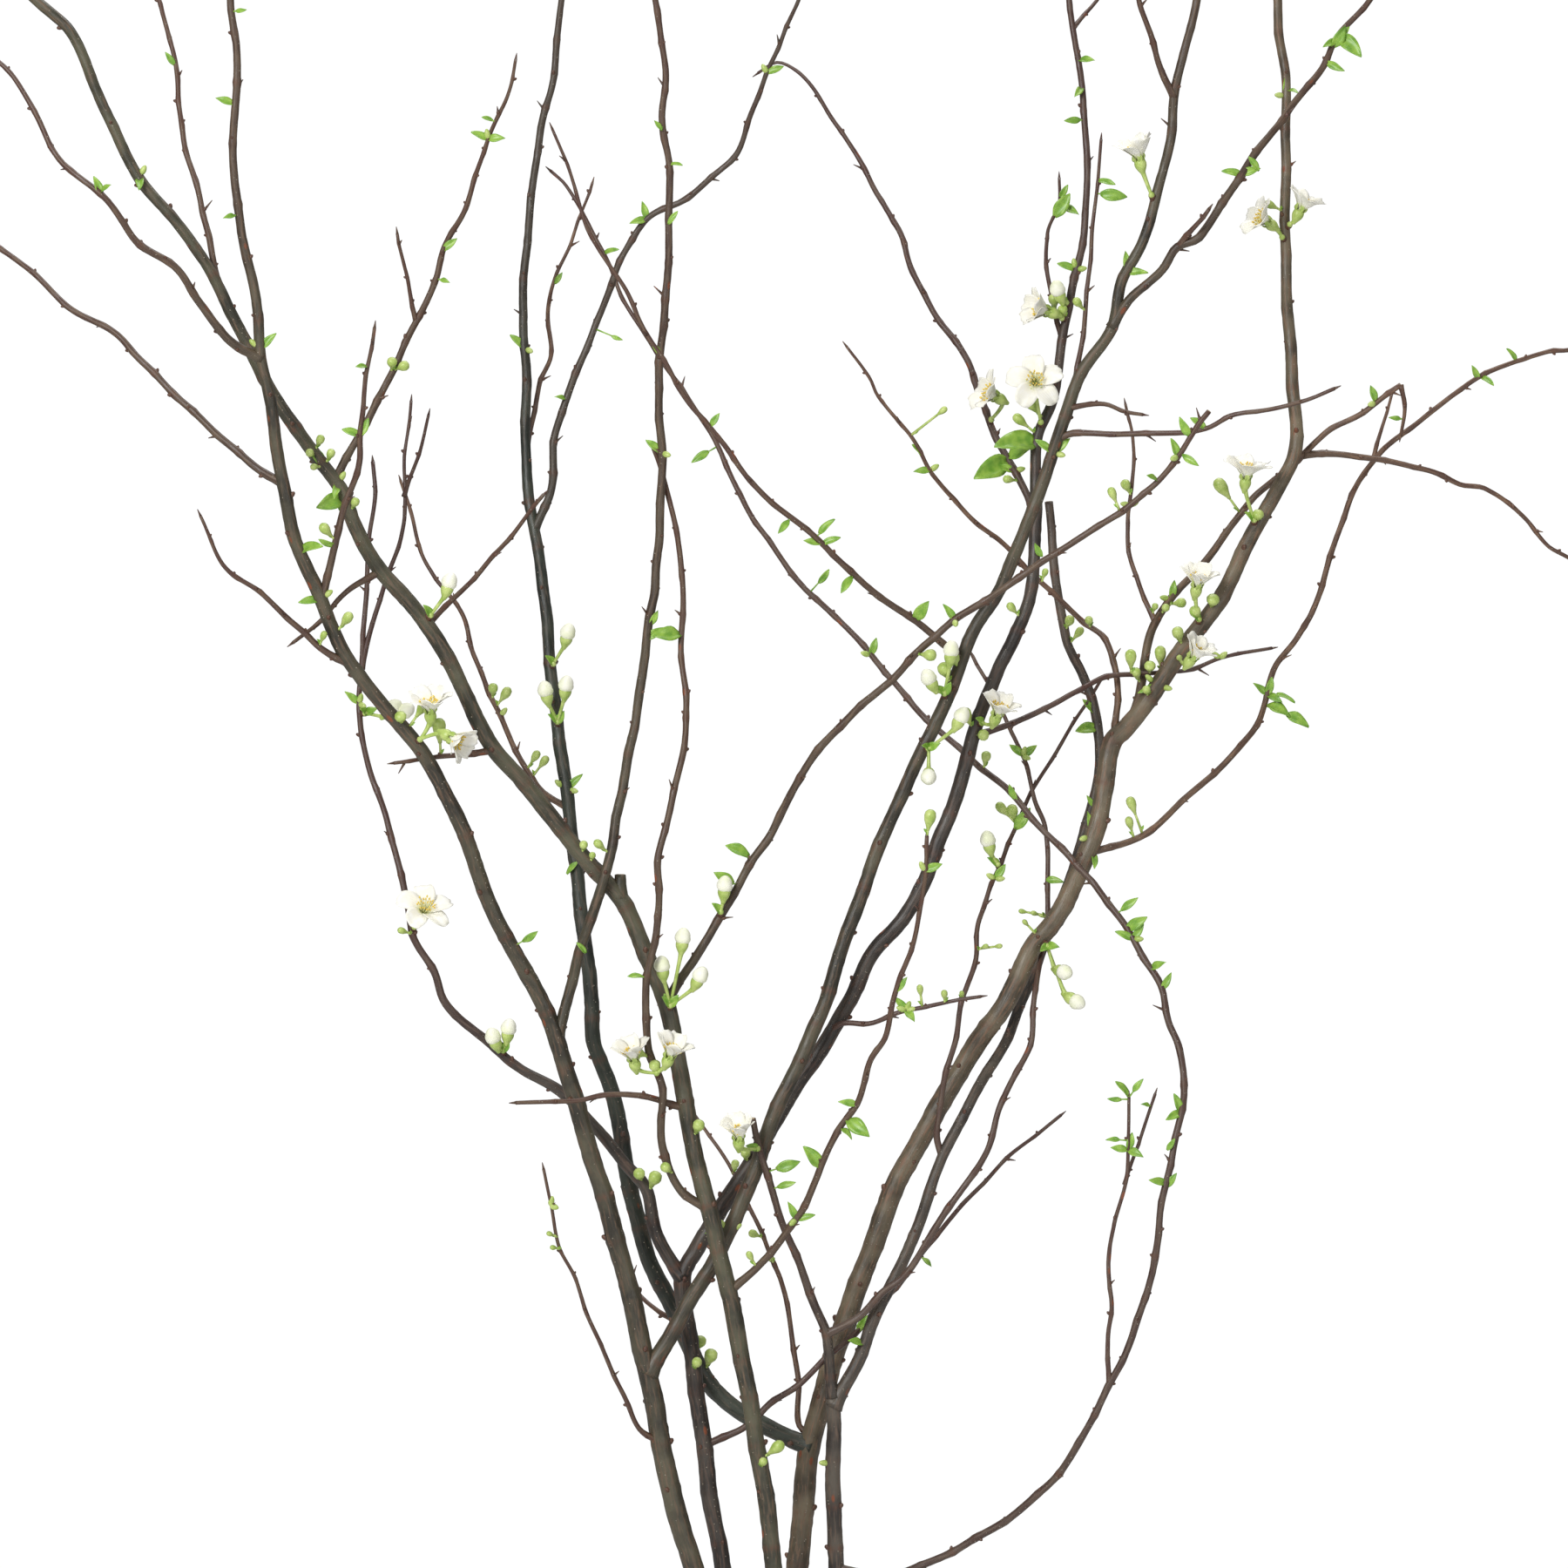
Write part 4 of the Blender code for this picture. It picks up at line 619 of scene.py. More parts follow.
def wood_stem(stem_name, stem):
    """One stem as a finely ringed tube that kinks at its bud scars, with their knobs and thorns."""
    spots, sizes = smooth_run(stem)
    run = np.concatenate([[0], np.cumsum(np.linalg.norm(np.diff(spots, axis=0), axis=1))]) / MM
    draw = random.Random(stem_name)
    old = sizes[0] > OLD_WOOD
    scars = [draw.uniform(*FIRST_SCAR)]
    while scars[-1] < run[-1] - LAST_SCAR:
        scars.append(scars[-1] + draw.uniform(*SCAR_SPACING) * (OLD_SPACING if old else 1))
    scars = scars[:-1]
    strength = [draw.uniform(0.25, 1) for _ in scars]
    swell = np.zeros(len(run))
    for scar, strong in zip(scars, strength):
        swell = np.maximum(swell, strong * np.exp(-((run - scar) ** 2) / (2 * SCAR_REACH**2)))
    kinks = [(-1) ** k * KINK for k in range(len(scars))]
    zigzag = np.interp(run, [0, *scars, run[-1]], [0, *kinks, 0])
    across = np.cross(np.gradient(spots, axis=0), (0.3, 1, 0.1))
    across = across / np.linalg.norm(across, axis=1)[:, None]
    spots = spots + across * zigzag[:, None] * MM
    wobble = np.array([noise.noise(Vector((s * 0.05, len(stem_name), 3.1))) for s in run])
    collar = COLLAR * np.exp(-run / COLLAR_REACH) if stem["rooted"] else 0
    knuckles = swell * np.where(sizes < SLIM_TWIG, SLIM_SWELL, SWELL)
    widths = sizes * (1 + UNEVEN * wobble + knuckles + collar)
    shape = drawn_tube(spots, widths, OLD_WOOD_SIDES if old else TWIG_SIDES)
    around = len(shape[0]) // len(spots)
    owner = np.arange(len(shape[0])) // around
    turn = np.arange(len(shape[0])) % around * math.tau / around
    rough = np.array([noise.noise(Vector(place) * 420) for place in shape[0]])
    places = spots[owner] + (shape[0] - spots[owner]) * (1 + rough[:, None] * UNEVEN)
    shift = draw.uniform(0, 5)
    wrapped = np.stack([np.cos(turn) * sizes[owner] * MM + shift, np.sin(turn) * sizes[owner] * MM,
                        run[owner] * MM], axis=1)
    thin = np.clip((TWIG - sizes) / 1.4, 0, 1)[owner]
    finish = bark_of(stem_name)
    scarred = np.clip(swell[owner] * 1.1 - 0.4, 0, 1)
    bits = [bit(shape, places, finish, bark_place=wrapped, thin=thin, scar=scarred)]
    for k, scar in enumerate(scars):
        i = int(np.searchsorted(run, scar))
        ahead = Vector(spots[min(i + 1, len(spots) - 1)] - spots[i - 1]).normalized()
        turned = Matrix.Rotation(k * GOLDEN_TURN + draw.uniform(-0.6, 0.6), 3, ahead)
        side = turned @ ahead.orthogonal().normalized()
        out = (side + ahead * 0.7).normalized()
        centre = Vector(spots[i]) + side * widths[i] * MM * 0.85
        size = (0.62 + 0.16 * sizes[i]) * draw.uniform(0.8, 1.35)
        bits.append(placed(KNOB, KNOB[0] * (size, size, size * 1.7), centre, out, finish, thin=1, scar=0.6))
        if k % THORN_EVERY == 2 and sizes[i] < TWIG:
            tip = centre + out * draw.uniform(*THORN_LENGTH) * MM
            bits.append(thread(centre, tip, 0.9, 0.25, finish, thin=1))
    end = Vector(spots[-1])
    ahead = Vector(spots[-1] - spots[-3]).normalized()
    last = sizes[-1]
    if last < POINTED:
        tip = end + ahead * BARE_TIP * MM
        bits.append(thread(end - ahead * 0.5 * MM, tip, last * 0.98, 0.25, finish, thin=1))
    else:
        back = end - ahead * 0.8 * MM
        bits.append(thread(back, end + ahead * 0.25 * MM, last * 0.9, last * 0.82, CUT_WOOD))
    return bits


wood = {branch: [] for branch in BARK}
for stem_name, stem in stems.items():
    wood[stem["branch"]] += wood_stem(stem_name, stem)

# Young leaves and green buds that sit straight on the twigs. The leaves are thin, pointed and folded
# along the midrib, with a finely toothed edge. The buds are green pears on short stalks.

# Each tuft: its stem, x and height, then how many leaves and buds it has
TUFTS = [
    ("a_left_high", -391, 789, 1, 0), ("a_up_twig", -242, 650, 2, 0), ("a", -266, 556, 1, 1),
    ("a", -300, 700, 1, 1), ("a", -316, 840, 1, 0), ("c", -256, 622, 2, 1), ("c_high_right", -196, 756, 1, 0),
    ("c_high_right", -170, 820, 2, 1), ("a_mid", -79, 533, 1, 0), ("a_mid", -70, 640, 1, 1),
    ("d_left", -125, 447, 1, 2), ("d_left_low_twig", -163, 489, 0, 1), ("b_left", -244, 496, 1, 2),
    ("a_foot_twig", -134, 208, 0, 2), ("b_foot_twig", 42, 136, 1, 0), ("e", 28, 60, 0, 2),
    ("a_right", -32, 193, 1, 2), ("c_low_right", 7, 200, 2, 1), ("c_low_right", 42, 266, 1, 0),
    ("b_level_twig", 70, 320, 2, 3), ("c_low_right", 82, 400, 1, 1), ("e_high_twig", 137, 466, 2, 2),
    ("e_high_twig", 150, 395, 1, 0), ("d", 178, 420, 1, 1), ("e_droop", 217, 332, 1, 0),
    ("e_droop", 202, 362, 2, 1), ("e_droop", 226, 262, 2, 0), ("e_droop_twig", 196, 240, 3, 0),
    ("e_droop", 50, 524, 1, 1), ("a_fan_upper", 22, 588, 2, 0), ("d_cross_twig", 84, 630, 1, 1),
    ("c_right", 98, 544, 1, 1), ("b_arch", 133, 630, 1, 1), ("a_right", 154, 640, 2, 2),
    ("b_long_twig", 250, 522, 0, 2), ("d_dark", 222, 556, 1, 1), ("d", 215, 506, 1, 3),
    ("d_right", 281, 500, 3, 0), ("c_right", 226, 638, 1, 1), ("d_dark_twig", 198, 610, 0, 2),
    ("a_level_twig", 242, 654, 1, 0), ("d_dark", 340, 668, 1, 1), ("d_right", 400, 684, 1, 0),
    ("a_right_fork", 318, 876, 2, 0), ("d", 288, 845, 1, 1), ("a_right_fork", 262, 800, 2, 0),
    ("b", 167, 745, 1, 2), ("a_right", 196, 744, 2, 0), ("b", 172, 850, 1, 0),
    ("d_left_fork", -79, 774, 2, 0), ("d_left_fork", -10, 858, 1, 1), ("e_mid_twig", 120, 396, 1, 2),
    ("d_left", -148, 700, 1, 1), ("c", -370, 798, 1, 1),
]
TUFT_LEAF = (9, 4.6)
TUFT_BUD = (4.6, 3.6)
HALF_BLADE = 0.16
SCALE_LEAF = (3.4, 1.8)
BROAD_LEAF = 12
FRONT = (0.2, -1, 0.3)
# More of them, each where the photo shows one, on whichever stem is nearest: (x, height, width)
BUDS_SEEN = [
    (-266, 648, 5), (-272, 640, 5), (-260, 640, 5), (-270, 632, 4), (-246, 612, 5), (-264, 597, 6),
    (-250, 546, 6), (-264, 536, 4), (-225, 692, 6), (-218, 690, 6), (-142, 467, 5), (-137, 464, 5),
    (-167, 505, 6), (-159, 503, 6), (-115, 415, 5), (-107, 416, 5), (-110, 409, 4), (-83, 226, 7),
    (-74, 224, 8), (-68, 230, 6), (-49, 254, 7), (-48, 130, 7), (-42, 122, 8), (-50, 118, 6), (-3, 70, 7),
    (-12, 61, 5), (-18, 192, 5), (-20, 180, 4), (-8, 178, 4), (141, 670, 8), (134, 660, 6), (147, 674, 6),
    (128, 625, 5), (250, 622, 8), (246, 555, 8), (228, 554, 6), (236, 549, 7), (226, 537, 7), (199, 524, 7),
    (216, 526, 7), (210, 517, 7), (202, 514, 6), (208, 504, 5), (164, 544, 6), (175, 544, 5), (170, 538, 5),
    (196, 622, 6), (188, 618, 5), (199, 440, 6), (198, 429, 5), (219, 551, 5), (213, 552, 4), (136, 377, 3),
    (143, 376, 3), (138, 371, 3), (116, 357, 3), (124, 357, 3), (78, 333, 4), (92, 330, 4), (102, 330, 3),
    (124, 437, 6), (131, 435, 7), (-220, 366, 4), (-135, 192, 3), (-133, 184, 3), (84, 524, 7), (92, 516, 8),
    (98, 522, 6), (104, 490, 8), (114, 478, 7), (116, 466, 6), (84, 432, 7), (-206, 496, 7), (-220, 488, 7),
    (-198, 484, 8), (272, 604, 7), (130, 552, 5), (150, 572, 4), (278, 783, 5), (155, 728, 7), (160, 722, 6),
    (168, 727, 5), (92, 665, 4), (-84, 296, 6), (-74, 288, 7), (-22, 238, 6), (-28, 232, 5),
]
# Leaves seen in the photo: (x, height, length)
LEAVES_SEEN = [
    (-390, 792, 9), (-266, 630, 14), (-260, 612, 17), (-247, 604, 13), (-272, 586, 15), (-262, 588, 11),
    (125, 634, 26), (139, 646, 27), (133, 640, 16), (-26, 412, 15), (-34, 396, 13), (2, 231, 14),
    (1, 220, 11), (20, 230, 15), (41, 254, 16), (36, 250, 10), (42, 130, 12), (178, 408, 12), (134, 423, 15),
    (136, 441, 11), (65, 330, 10), (284, 493, 15), (295, 487, 15), (288, 500, 12), (202, 370, 14),
    (198, 381, 12), (214, 346, 11), (195, 275, 12), (203, 277, 9), (190, 269, 8), (208, 266, 7),
    (189, 246, 8), (222, 243, 8), (215, 222, 11), (222, 217, 10), (323, 876, 18), (316, 871, 14),
    (316, 862, 12), (173, 866, 11), (166, 831, 10), (292, 848, 10), (270, 806, 10), (189, 788, 15),
    (184, 796, 11), (153, 776, 16), (164, 780, 12), (160, 786, 9), (232, 650, 12), (233, 636, 11),
    (351, 660, 8), (397, 686, 10), (420, 694, 9), (174, 482, 14), (181, 490, 11), (-79, 540, 10),
    (-64, 536, 18), (-122, 402, 10), (-48, 638, 12), (23, 569, 10), (36, 565, 12), (78, 548, 14),
    (-318, 776, 8), (-312, 894, 7), (-348, 862, 9), (-195, 739, 7), (-170, 832, 7), (-242, 690, 8),
    (-100, 756, 10), (-64, 775, 9), (-71, 696, 8), (-41, 656, 9), (80, 638, 9), (0, 598, 10), (24, 598, 12),
    (-128, 672, 8), (-96, 706, 7), (-130, 736, 8), (146, 584, 9), (212, 626, 9), (-72, 828, 7), (-62, 806, 8),
    (176, 440, 8), (82, 176, 8), (-116, 356, 8), (-85, 340, 9), (-146, 362, 11),
]


def finish_of_plant(name, light, deep, roughness, scale):
    """A soft matt surface in two colours that run into each other."""
    made, tree, shader = new_finish(name, roughness)
    coords = object_place(tree)
    patch = noise_of(tree, coords, scale, 4)
    base = mixed(tree, ramp(tree, patch, 0.35, 0.66), light, deep)
    tree.links.new(base, shader.inputs["Base Color"])
    bumped(tree, noise_of(tree, coords, scale * 9, 3), shader, 0.2, 0.00005)
    return made


LEAF = finish_of_plant("young_leaf", (0.3, 0.49, 0.07), (0.15, 0.33, 0.035), 0.36, 220)
CALYX = finish_of_plant("calyx_green", (0.52, 0.62, 0.2), (0.33, 0.46, 0.09), 0.38, 220)
bpy.ops.mesh.primitive_uv_sphere_add(segments=10, ring_count=8, radius=1)
EGG = taken()


def plate(columns, rows):
    """A thin closed plate, flat and two deep, to be bent into a leaf or petal."""
    bpy.ops.mesh.primitive_grid_add(x_subdivisions=columns, y_subdivisions=rows, size=2)
    thick = bpy.context.object.modifiers.new("thick", "SOLIDIFY")
    thick.thickness = 2
    thick.offset = 0
    bpy.ops.object.modifier_apply(modifier="thick")
    return taken()


BLADE = plate(4, 8)


def leaf_at(root, direction, length, width, home_side, number, finish=None):
    """One pointed blade with a fold, a curl and a toothed edge."""
    direction = direction.normalized()
    across = direction.cross(Vector(home_side)).normalized()
    up = across.cross(direction).normalized()
    side, along_blade, face = BLADE[0].T
    share = (along_blade + 1) / 2
    half = width / 2 * np.sin(np.pi * np.clip(share, 0.04, 0.985) ** 0.85) ** 0.75
    half = half * (1 + 0.08 * np.sin(share * 50 + number) * np.abs(side) ** 3)
    fold = np.abs(side) * half * 0.45
    curl = 0.04 * length * np.sin(share * 7 + number) * side - share**2 * length * 0.2
    lift = fold + curl + face * HALF_BLADE
    places = np.outer(share * length, direction) + np.outer(side * half, across) + np.outer(lift, up)
    return bit(BLADE, np.array(root) + MM * places, finish or LEAF)


def bud_at(centre, direction, length, width, finish, shape=EGG, folds=0.0):
    """An egg-shaped bud; the folds are the turned edges of its petals."""
    side, other, level = shape[0].T
    taper = 1 - 0.2 * level
    taper = taper * (1 + folds * (np.abs(np.sin(1.5 * np.arctan2(other, side) + level * 1.9)) ** 0.6 - 0.5))
    wide = taper * width / 2
    local = np.stack([side * wide, other * wide, level * length / 2], axis=1)
    return placed(shape, local, centre, direction, finish)


def spun(shape, foot, facing, length, profile):
    """A green ball drawn out from foot to head, with half widths along it from the profile."""
    side, other, level = shape[0].T
    share = (level + 1) / 2
    flat = np.hypot(side, other).clip(0.001)
    wide = profile(share) * np.clip(flat / 0.3, 0, 1)
    local = np.stack([side / flat * wide, other / flat * wide, share * length], axis=1)
    return placed(shape, local, foot, facing, CALYX)


def pear(foot, head, width):
    """A green bud that widens smoothly from its stalk."""

    def profile(share):
        neck = 0.28 + 0.72 * np.sin(np.clip(share / 0.66, 0, 1) * math.pi / 2) ** 2.2
        crown = np.sqrt(np.clip(1 - np.clip((share - 0.72) / 0.28, 0, 1) ** 2, 0, 1))
        return width / 2 * neck * crown

    way = head - foot
    return spun(EGG, foot, way.normalized(), way.length / MM, profile)


def any_nearest(x, height):
    """The stem that passes nearest to this place, with where and how thick it is there."""
    found = []
    for name, stem in stems.items():
        spot = nearest(stem, x, height)
        found.append((math.hypot(x - spot[0], height - spot[1]), name, spot))
    return min(found)[1:]


draw = random.Random(7)
green = {branch: [] for branch in BARK}
for count, (stem_name, x, height, leaves, buds) in enumerate(TUFTS):
    stem = stems[stem_name]
    x, height, depth, radius = nearest(stem, x, height)
    root = seen(x, height, depth)
    turn = draw.uniform(0, math.tau)
    for k in range(leaves + buds):
        angle = turn + k * GOLDEN_TURN
        out = Vector((math.cos(angle), -0.35, 0.55 + math.sin(angle) * 0.75)).normalized()
        if k < leaves:
            grown = leaf_at(root, out, TUFT_LEAF[0] + radius, TUFT_LEAF[1], FRONT, count + k)
        else:
            centre = root + out * (radius + TUFT_BUD[0] * 0.4) * MM
            grown = bud_at(centre, out, TUFT_BUD[0] + 1.5, TUFT_BUD[1], CALYX)
        green[stem["branch"]].append(grown)

for count, (x, height, width) in enumerate(BUDS_SEEN):
    stem_name, (stem_x, stem_height, depth, radius) = any_nearest(x, height - width)
    bits = green[stems[stem_name]["branch"]]
    root = seen(stem_x, stem_height, depth)
    head = seen(x, height, depth - radius - draw.uniform(2, 5))
    way = (head - root).normalized()
    knot = root + way * (radius + 0.6) * MM
    foot = head - way * min(width * 1.3 * MM, (head - knot).length * 0.8)
    bits.append(thread(root, foot, 0.9, 0.75, CALYX))
    bits.append(pear(foot - way * 0.8 * MM, head + way * width * 0.5 * MM, width))
    scale_way = way + Vector((0.9 * (-1) ** count, -0.5, 0.2))
    bits.append(leaf_at(knot, scale_way, *SCALE_LEAF, FRONT, count))

for count, (x, height, length) in enumerate(LEAVES_SEEN):
    stem_name, (stem_x, stem_height, depth, radius) = any_nearest(x, height)
    bits = green[stems[stem_name]["branch"]]
    root = seen(stem_x, stem_height, depth)
    middle = seen(x, height, depth - radius - 2)
    way = middle - root
    if way.length < (radius + 3) * MM:
        way = Vector((0.6 * (-1) ** count, -0.4, 0.9))
    way = way.normalized()
    foot = middle - way * length * 0.5 * MM
    if (middle - root).length < length * 0.5 * MM:
        foot = root + way * radius * 0.5 * MM
    else:
        bits.append(thread(root, foot + way * 0.6 * MM, 0.6, 0.45, LEAF))
    width = length * (0.52 if length > BROAD_LEAF else 0.4)
    face = Vector((draw.uniform(-0.7, 0.7), -1, draw.uniform(-0.2, 0.8)))
    bits.append(leaf_at(foot, way, length, width, face, count))

# Flower sprays. A short stalk carries a green urn-shaped cup, which opens into five ivory petals
# round a tuft of yellow stamens, or still holds a closed cream bud. The petals are thin, cupped and
# overlapping, with soft waved edges.

# Each spray: its stem and where it sits, then its flowers and closed buds as x, height and depth
# against the stem's. A flower also says where it faces (x, height, depth), the length of its
# petals, how far they open in degrees and whether its stamens show. The last number is extra leaves.
SPRAYS = [
    ("a_right", (208, 785), [(204, 808, -10, (-0.3, 1, -0.3), 14, 35, True)], [], 0),
    ("d", (288, 761), [(278, 772, -10, (-1, 0.6, -0.5), 14, 45, True)], [], 0),
    ("d", (288, 768), [(296, 779, -9, (0.5, 1, -0.2), 13, 40, False)], [], 0),
    ("b", (162, 716), [(152, 721, -10, (-1, 0.3, -0.4), 14, 35, False)], [], 0),
    ("b", (146, 655), [(144, 680, -22, (0, 0.3, -1), 15, 75, True)], [], 0),
    ("b_arch", (118, 657), [(122, 672, -20, (-1, 0.5, -0.5), 14, 45, True)], [], 0),
    ("d", (270, 597), [(265, 625, -16, (0.1, 1, -0.3), 15, 45, True)], [], 1),
    ("d", (238, 540), [(237, 563, -16, (0.2, 1, -0.5), 13, 35, False)], [], 1),
    ("d", (226, 522), [(234, 522, -30, (0.7, 1, -0.6), 13, 35, False)], [], 0),
    ("b", (110, 484), [(122, 489, -14, (0.4, 1, -0.5), 13, 40, False)], [], 1),
    ("a", (-212, 473), [(-203, 491, -12, (0, 1, -0.5), 14, 40, False),
                        (-192, 477, -14, (0.9, -0.5, -0.5), 13, 35, False)], [], 0),
    ("b_left", (-214, 366), [(-207, 376, -12, (0.3, 0.8, -0.8), 15, 65, True)], [], 0),
    ("c_mid", (-72, 282), [(-86, 291, -10, (-0.2, 1, -0.5), 13, 35, False),
                           (-66, 293, -12, (0.4, 1, -0.5), 13, 35, False)], [], 0),
    ("e_left", (-14, 240), [(-26, 246, -20, (0.0, 1, -0.5), 13, 30, False)], [], 1),
    ("b", (163, 724), [], [(157, 734, -12)], 0),
    ("c", (-203, 544), [], [(-192, 566, -10)], 0),
    ("d_left", (-129, 482), [], [(-137, 504, -16), (-125, 507, -18)], 0),
    ("d_left", (-131, 516), [], [(-124, 537, -18)], 0),
    ("b_left", (-161, 294), [], [(-158, 310, -10), (-167, 305, -12)], 1),
    ("c", (-66, 318), [], [(-70, 346, -16), (-58, 362, -14), (-48, 340, -14)], 0),
    ("c_right", (-38, 374), [], [(-34, 392, -10)], 0),
    ("e_mid_twig", (122, 402), [], [(117, 418, -10)], 0),
    ("a_right", (80, 470), [], [(83, 454, -16), (102, 489, -14)], 0),
    ("a_right", (92, 498), [], [(83, 511, -12), (96, 527, -14)], 0),
    ("d", (148, 362), [], [(161, 342, -18), (168, 325, -16)], 0),
    ("b_left", (-244, 490), [], [(-224, 494, -10), (-217, 492, -10)], 0),
]
FIVE_WAYS = [k * math.tau / 5 for k in range(5)]
SPUR_OUT = 2.2
SPUR_LEAN = 0.6
WIDE_OPEN = 50
CUP_LENGTH = 5.4
SEAT = 0.3
PETAL_BASE = 1.4
HALF_PETAL = 0.13
STAMENS = 24
BUD_LENGTH = 10
BUD_WIDTH = 8.8
BUD_FOOT = 8.6
SPRAY_LEAF = (9, 4.8)
PETAL = plate(8, 9)
bpy.ops.mesh.primitive_uv_sphere_add(segments=16, ring_count=12, radius=1)
ROUND = taken()


def petal_finish():
    made, tree, shader = new_finish("ivory_petal", 0.5)
    base = ramp(tree, point_value(tree, "reach"), 0.0, 0.35)
    base = mixed(tree, base, (0.66, 0.7, 0.3), (0.88, 0.86, 0.75))
    cloud = noise_of(tree, object_place(tree), 240, 3)
    base = mixed(tree, ramp(tree, cloud, 0.4, 0.75), base, (0.93, 0.92, 0.88))
    tree.links.new(base, shader.inputs["Base Color"])
    bumped(tree, worked_out(tree, "SINE", point_value(tree, "vein")), shader, 0.2, 0.00006)
    return made


IVORY = petal_finish()
CREAM = finish_of_plant("cream_bud", (0.9, 0.89, 0.78), (0.8, 0.83, 0.58), 0.5, 110)
YELLOW = finish_of_plant("stamen_yellow", (0.82, 0.68, 0.16), (0.75, 0.48, 0.05), 0.55, 700)
FILAMENT = finish_of_plant("stamen_thread", (0.84, 0.84, 0.5), (0.78, 0.74, 0.32), 0.5, 700)


def spoke(axis, turn):
    """The direction that stands off this axis at this turn round it."""
    side = axis.orthogonal().normalized()
    return side * math.cos(turn) + axis.cross(side) * math.sin(turn)


def petal_at(base, facing, turn, length, opening, number):
    """One cupped petal on its narrow claw, rising from the flower's floor."""
    swing = spoke(facing, turn)
    way, along_petal, face = PETAL[0].T
    share = (along_petal + 1) / 2
    tilt = math.radians(opening) + random.Random(number).uniform(-0.12, 0.12)
    lean = tilt * (0.7 + 0.5 * share)
    outline = np.sin(np.pi * np.clip(0.07 + share * 0.8, 0, 1)) ** 0.6 * (0.6 + 0.42 * share)
    half = length * 0.48 * outline
    bow = way**2 * half * 0.4
    ruffle = 0.5 * np.sin(way * 6 + number * 1.7) * share**3 + 0.3 * np.sin(share * 9 + number) * way
    tip = -0.6 * np.exp(-(way**2) / 0.05) * share**6
    overlap = way * (0.3 + 1.1 * share) - face * HALF_PETAL
    rise = np.cos(lean) * length * share + bow * 0.5 + 0.6 + ruffle * 0.6 + tip + 0.4 * (number % 2) * share
    rise = rise - overlap * np.sin(lean)
    out = PETAL_BASE + np.sin(lean) * length * share - bow * 0.6 + ruffle * 0.5 + overlap * np.cos(lean)
    across = facing.cross(swing).normalized()
    places = np.outer(rise, facing) + np.outer(out, swing) + np.outer(way * half, across)
    return bit(PETAL, np.array(base) + MM * places, IVORY, reach=share, vein=way * 30 * (0.35 + share))


def stamens_at(seat, facing, length, number):
    """A loose tuft of filaments, each with its anther."""
    draw_one = random.Random(number + 50)
    bits = []
    for j in range(STAMENS):
        spread = 0.12 + 0.5 * math.sqrt(j / STAMENS)
        out = spoke(facing, j * GOLDEN_TURN)
        lean = (facing + out * spread * draw_one.uniform(0.7, 1.2)).normalized()
        start = seat + out * spread * 2.4 * MM
        end = start + lean * length * draw_one.uniform(0.42, 0.6) * MM
        bits.append(thread(start, end, 0.2, 0.15, FILAMENT))
        bits.append(bud_at(end, lean, 1.6, 1.1, YELLOW, KNOB))
    return bits


def urn(foot, facing, length, width):
    """The green cup below a flower: a narrow foot, a swollen body and an open rim."""
    return spun(ROUND, foot, facing, length,
                lambda share: width * (0.3 + 0.7 * np.sin(np.pi * np.clip(share * 0.72, 0, 1)) ** 1.6))


def sepals(foot, facing, radius, length, lean_out):
    made = []
    for j, turn in enumerate(FIVE_WAYS):
        out = spoke(facing, turn + 0.3)
        made.append(leaf_at(foot + out * radius * MM, facing + out * lean_out, length, 3.0, out, j, CALYX))
    return made


def stalk(places, widths, finish, **values):
    """A smooth tube through a few places."""
    shape = drawn_tube(places, widths, 1, "NURBS")
    return bit(shape, shape[0], finish, **values)


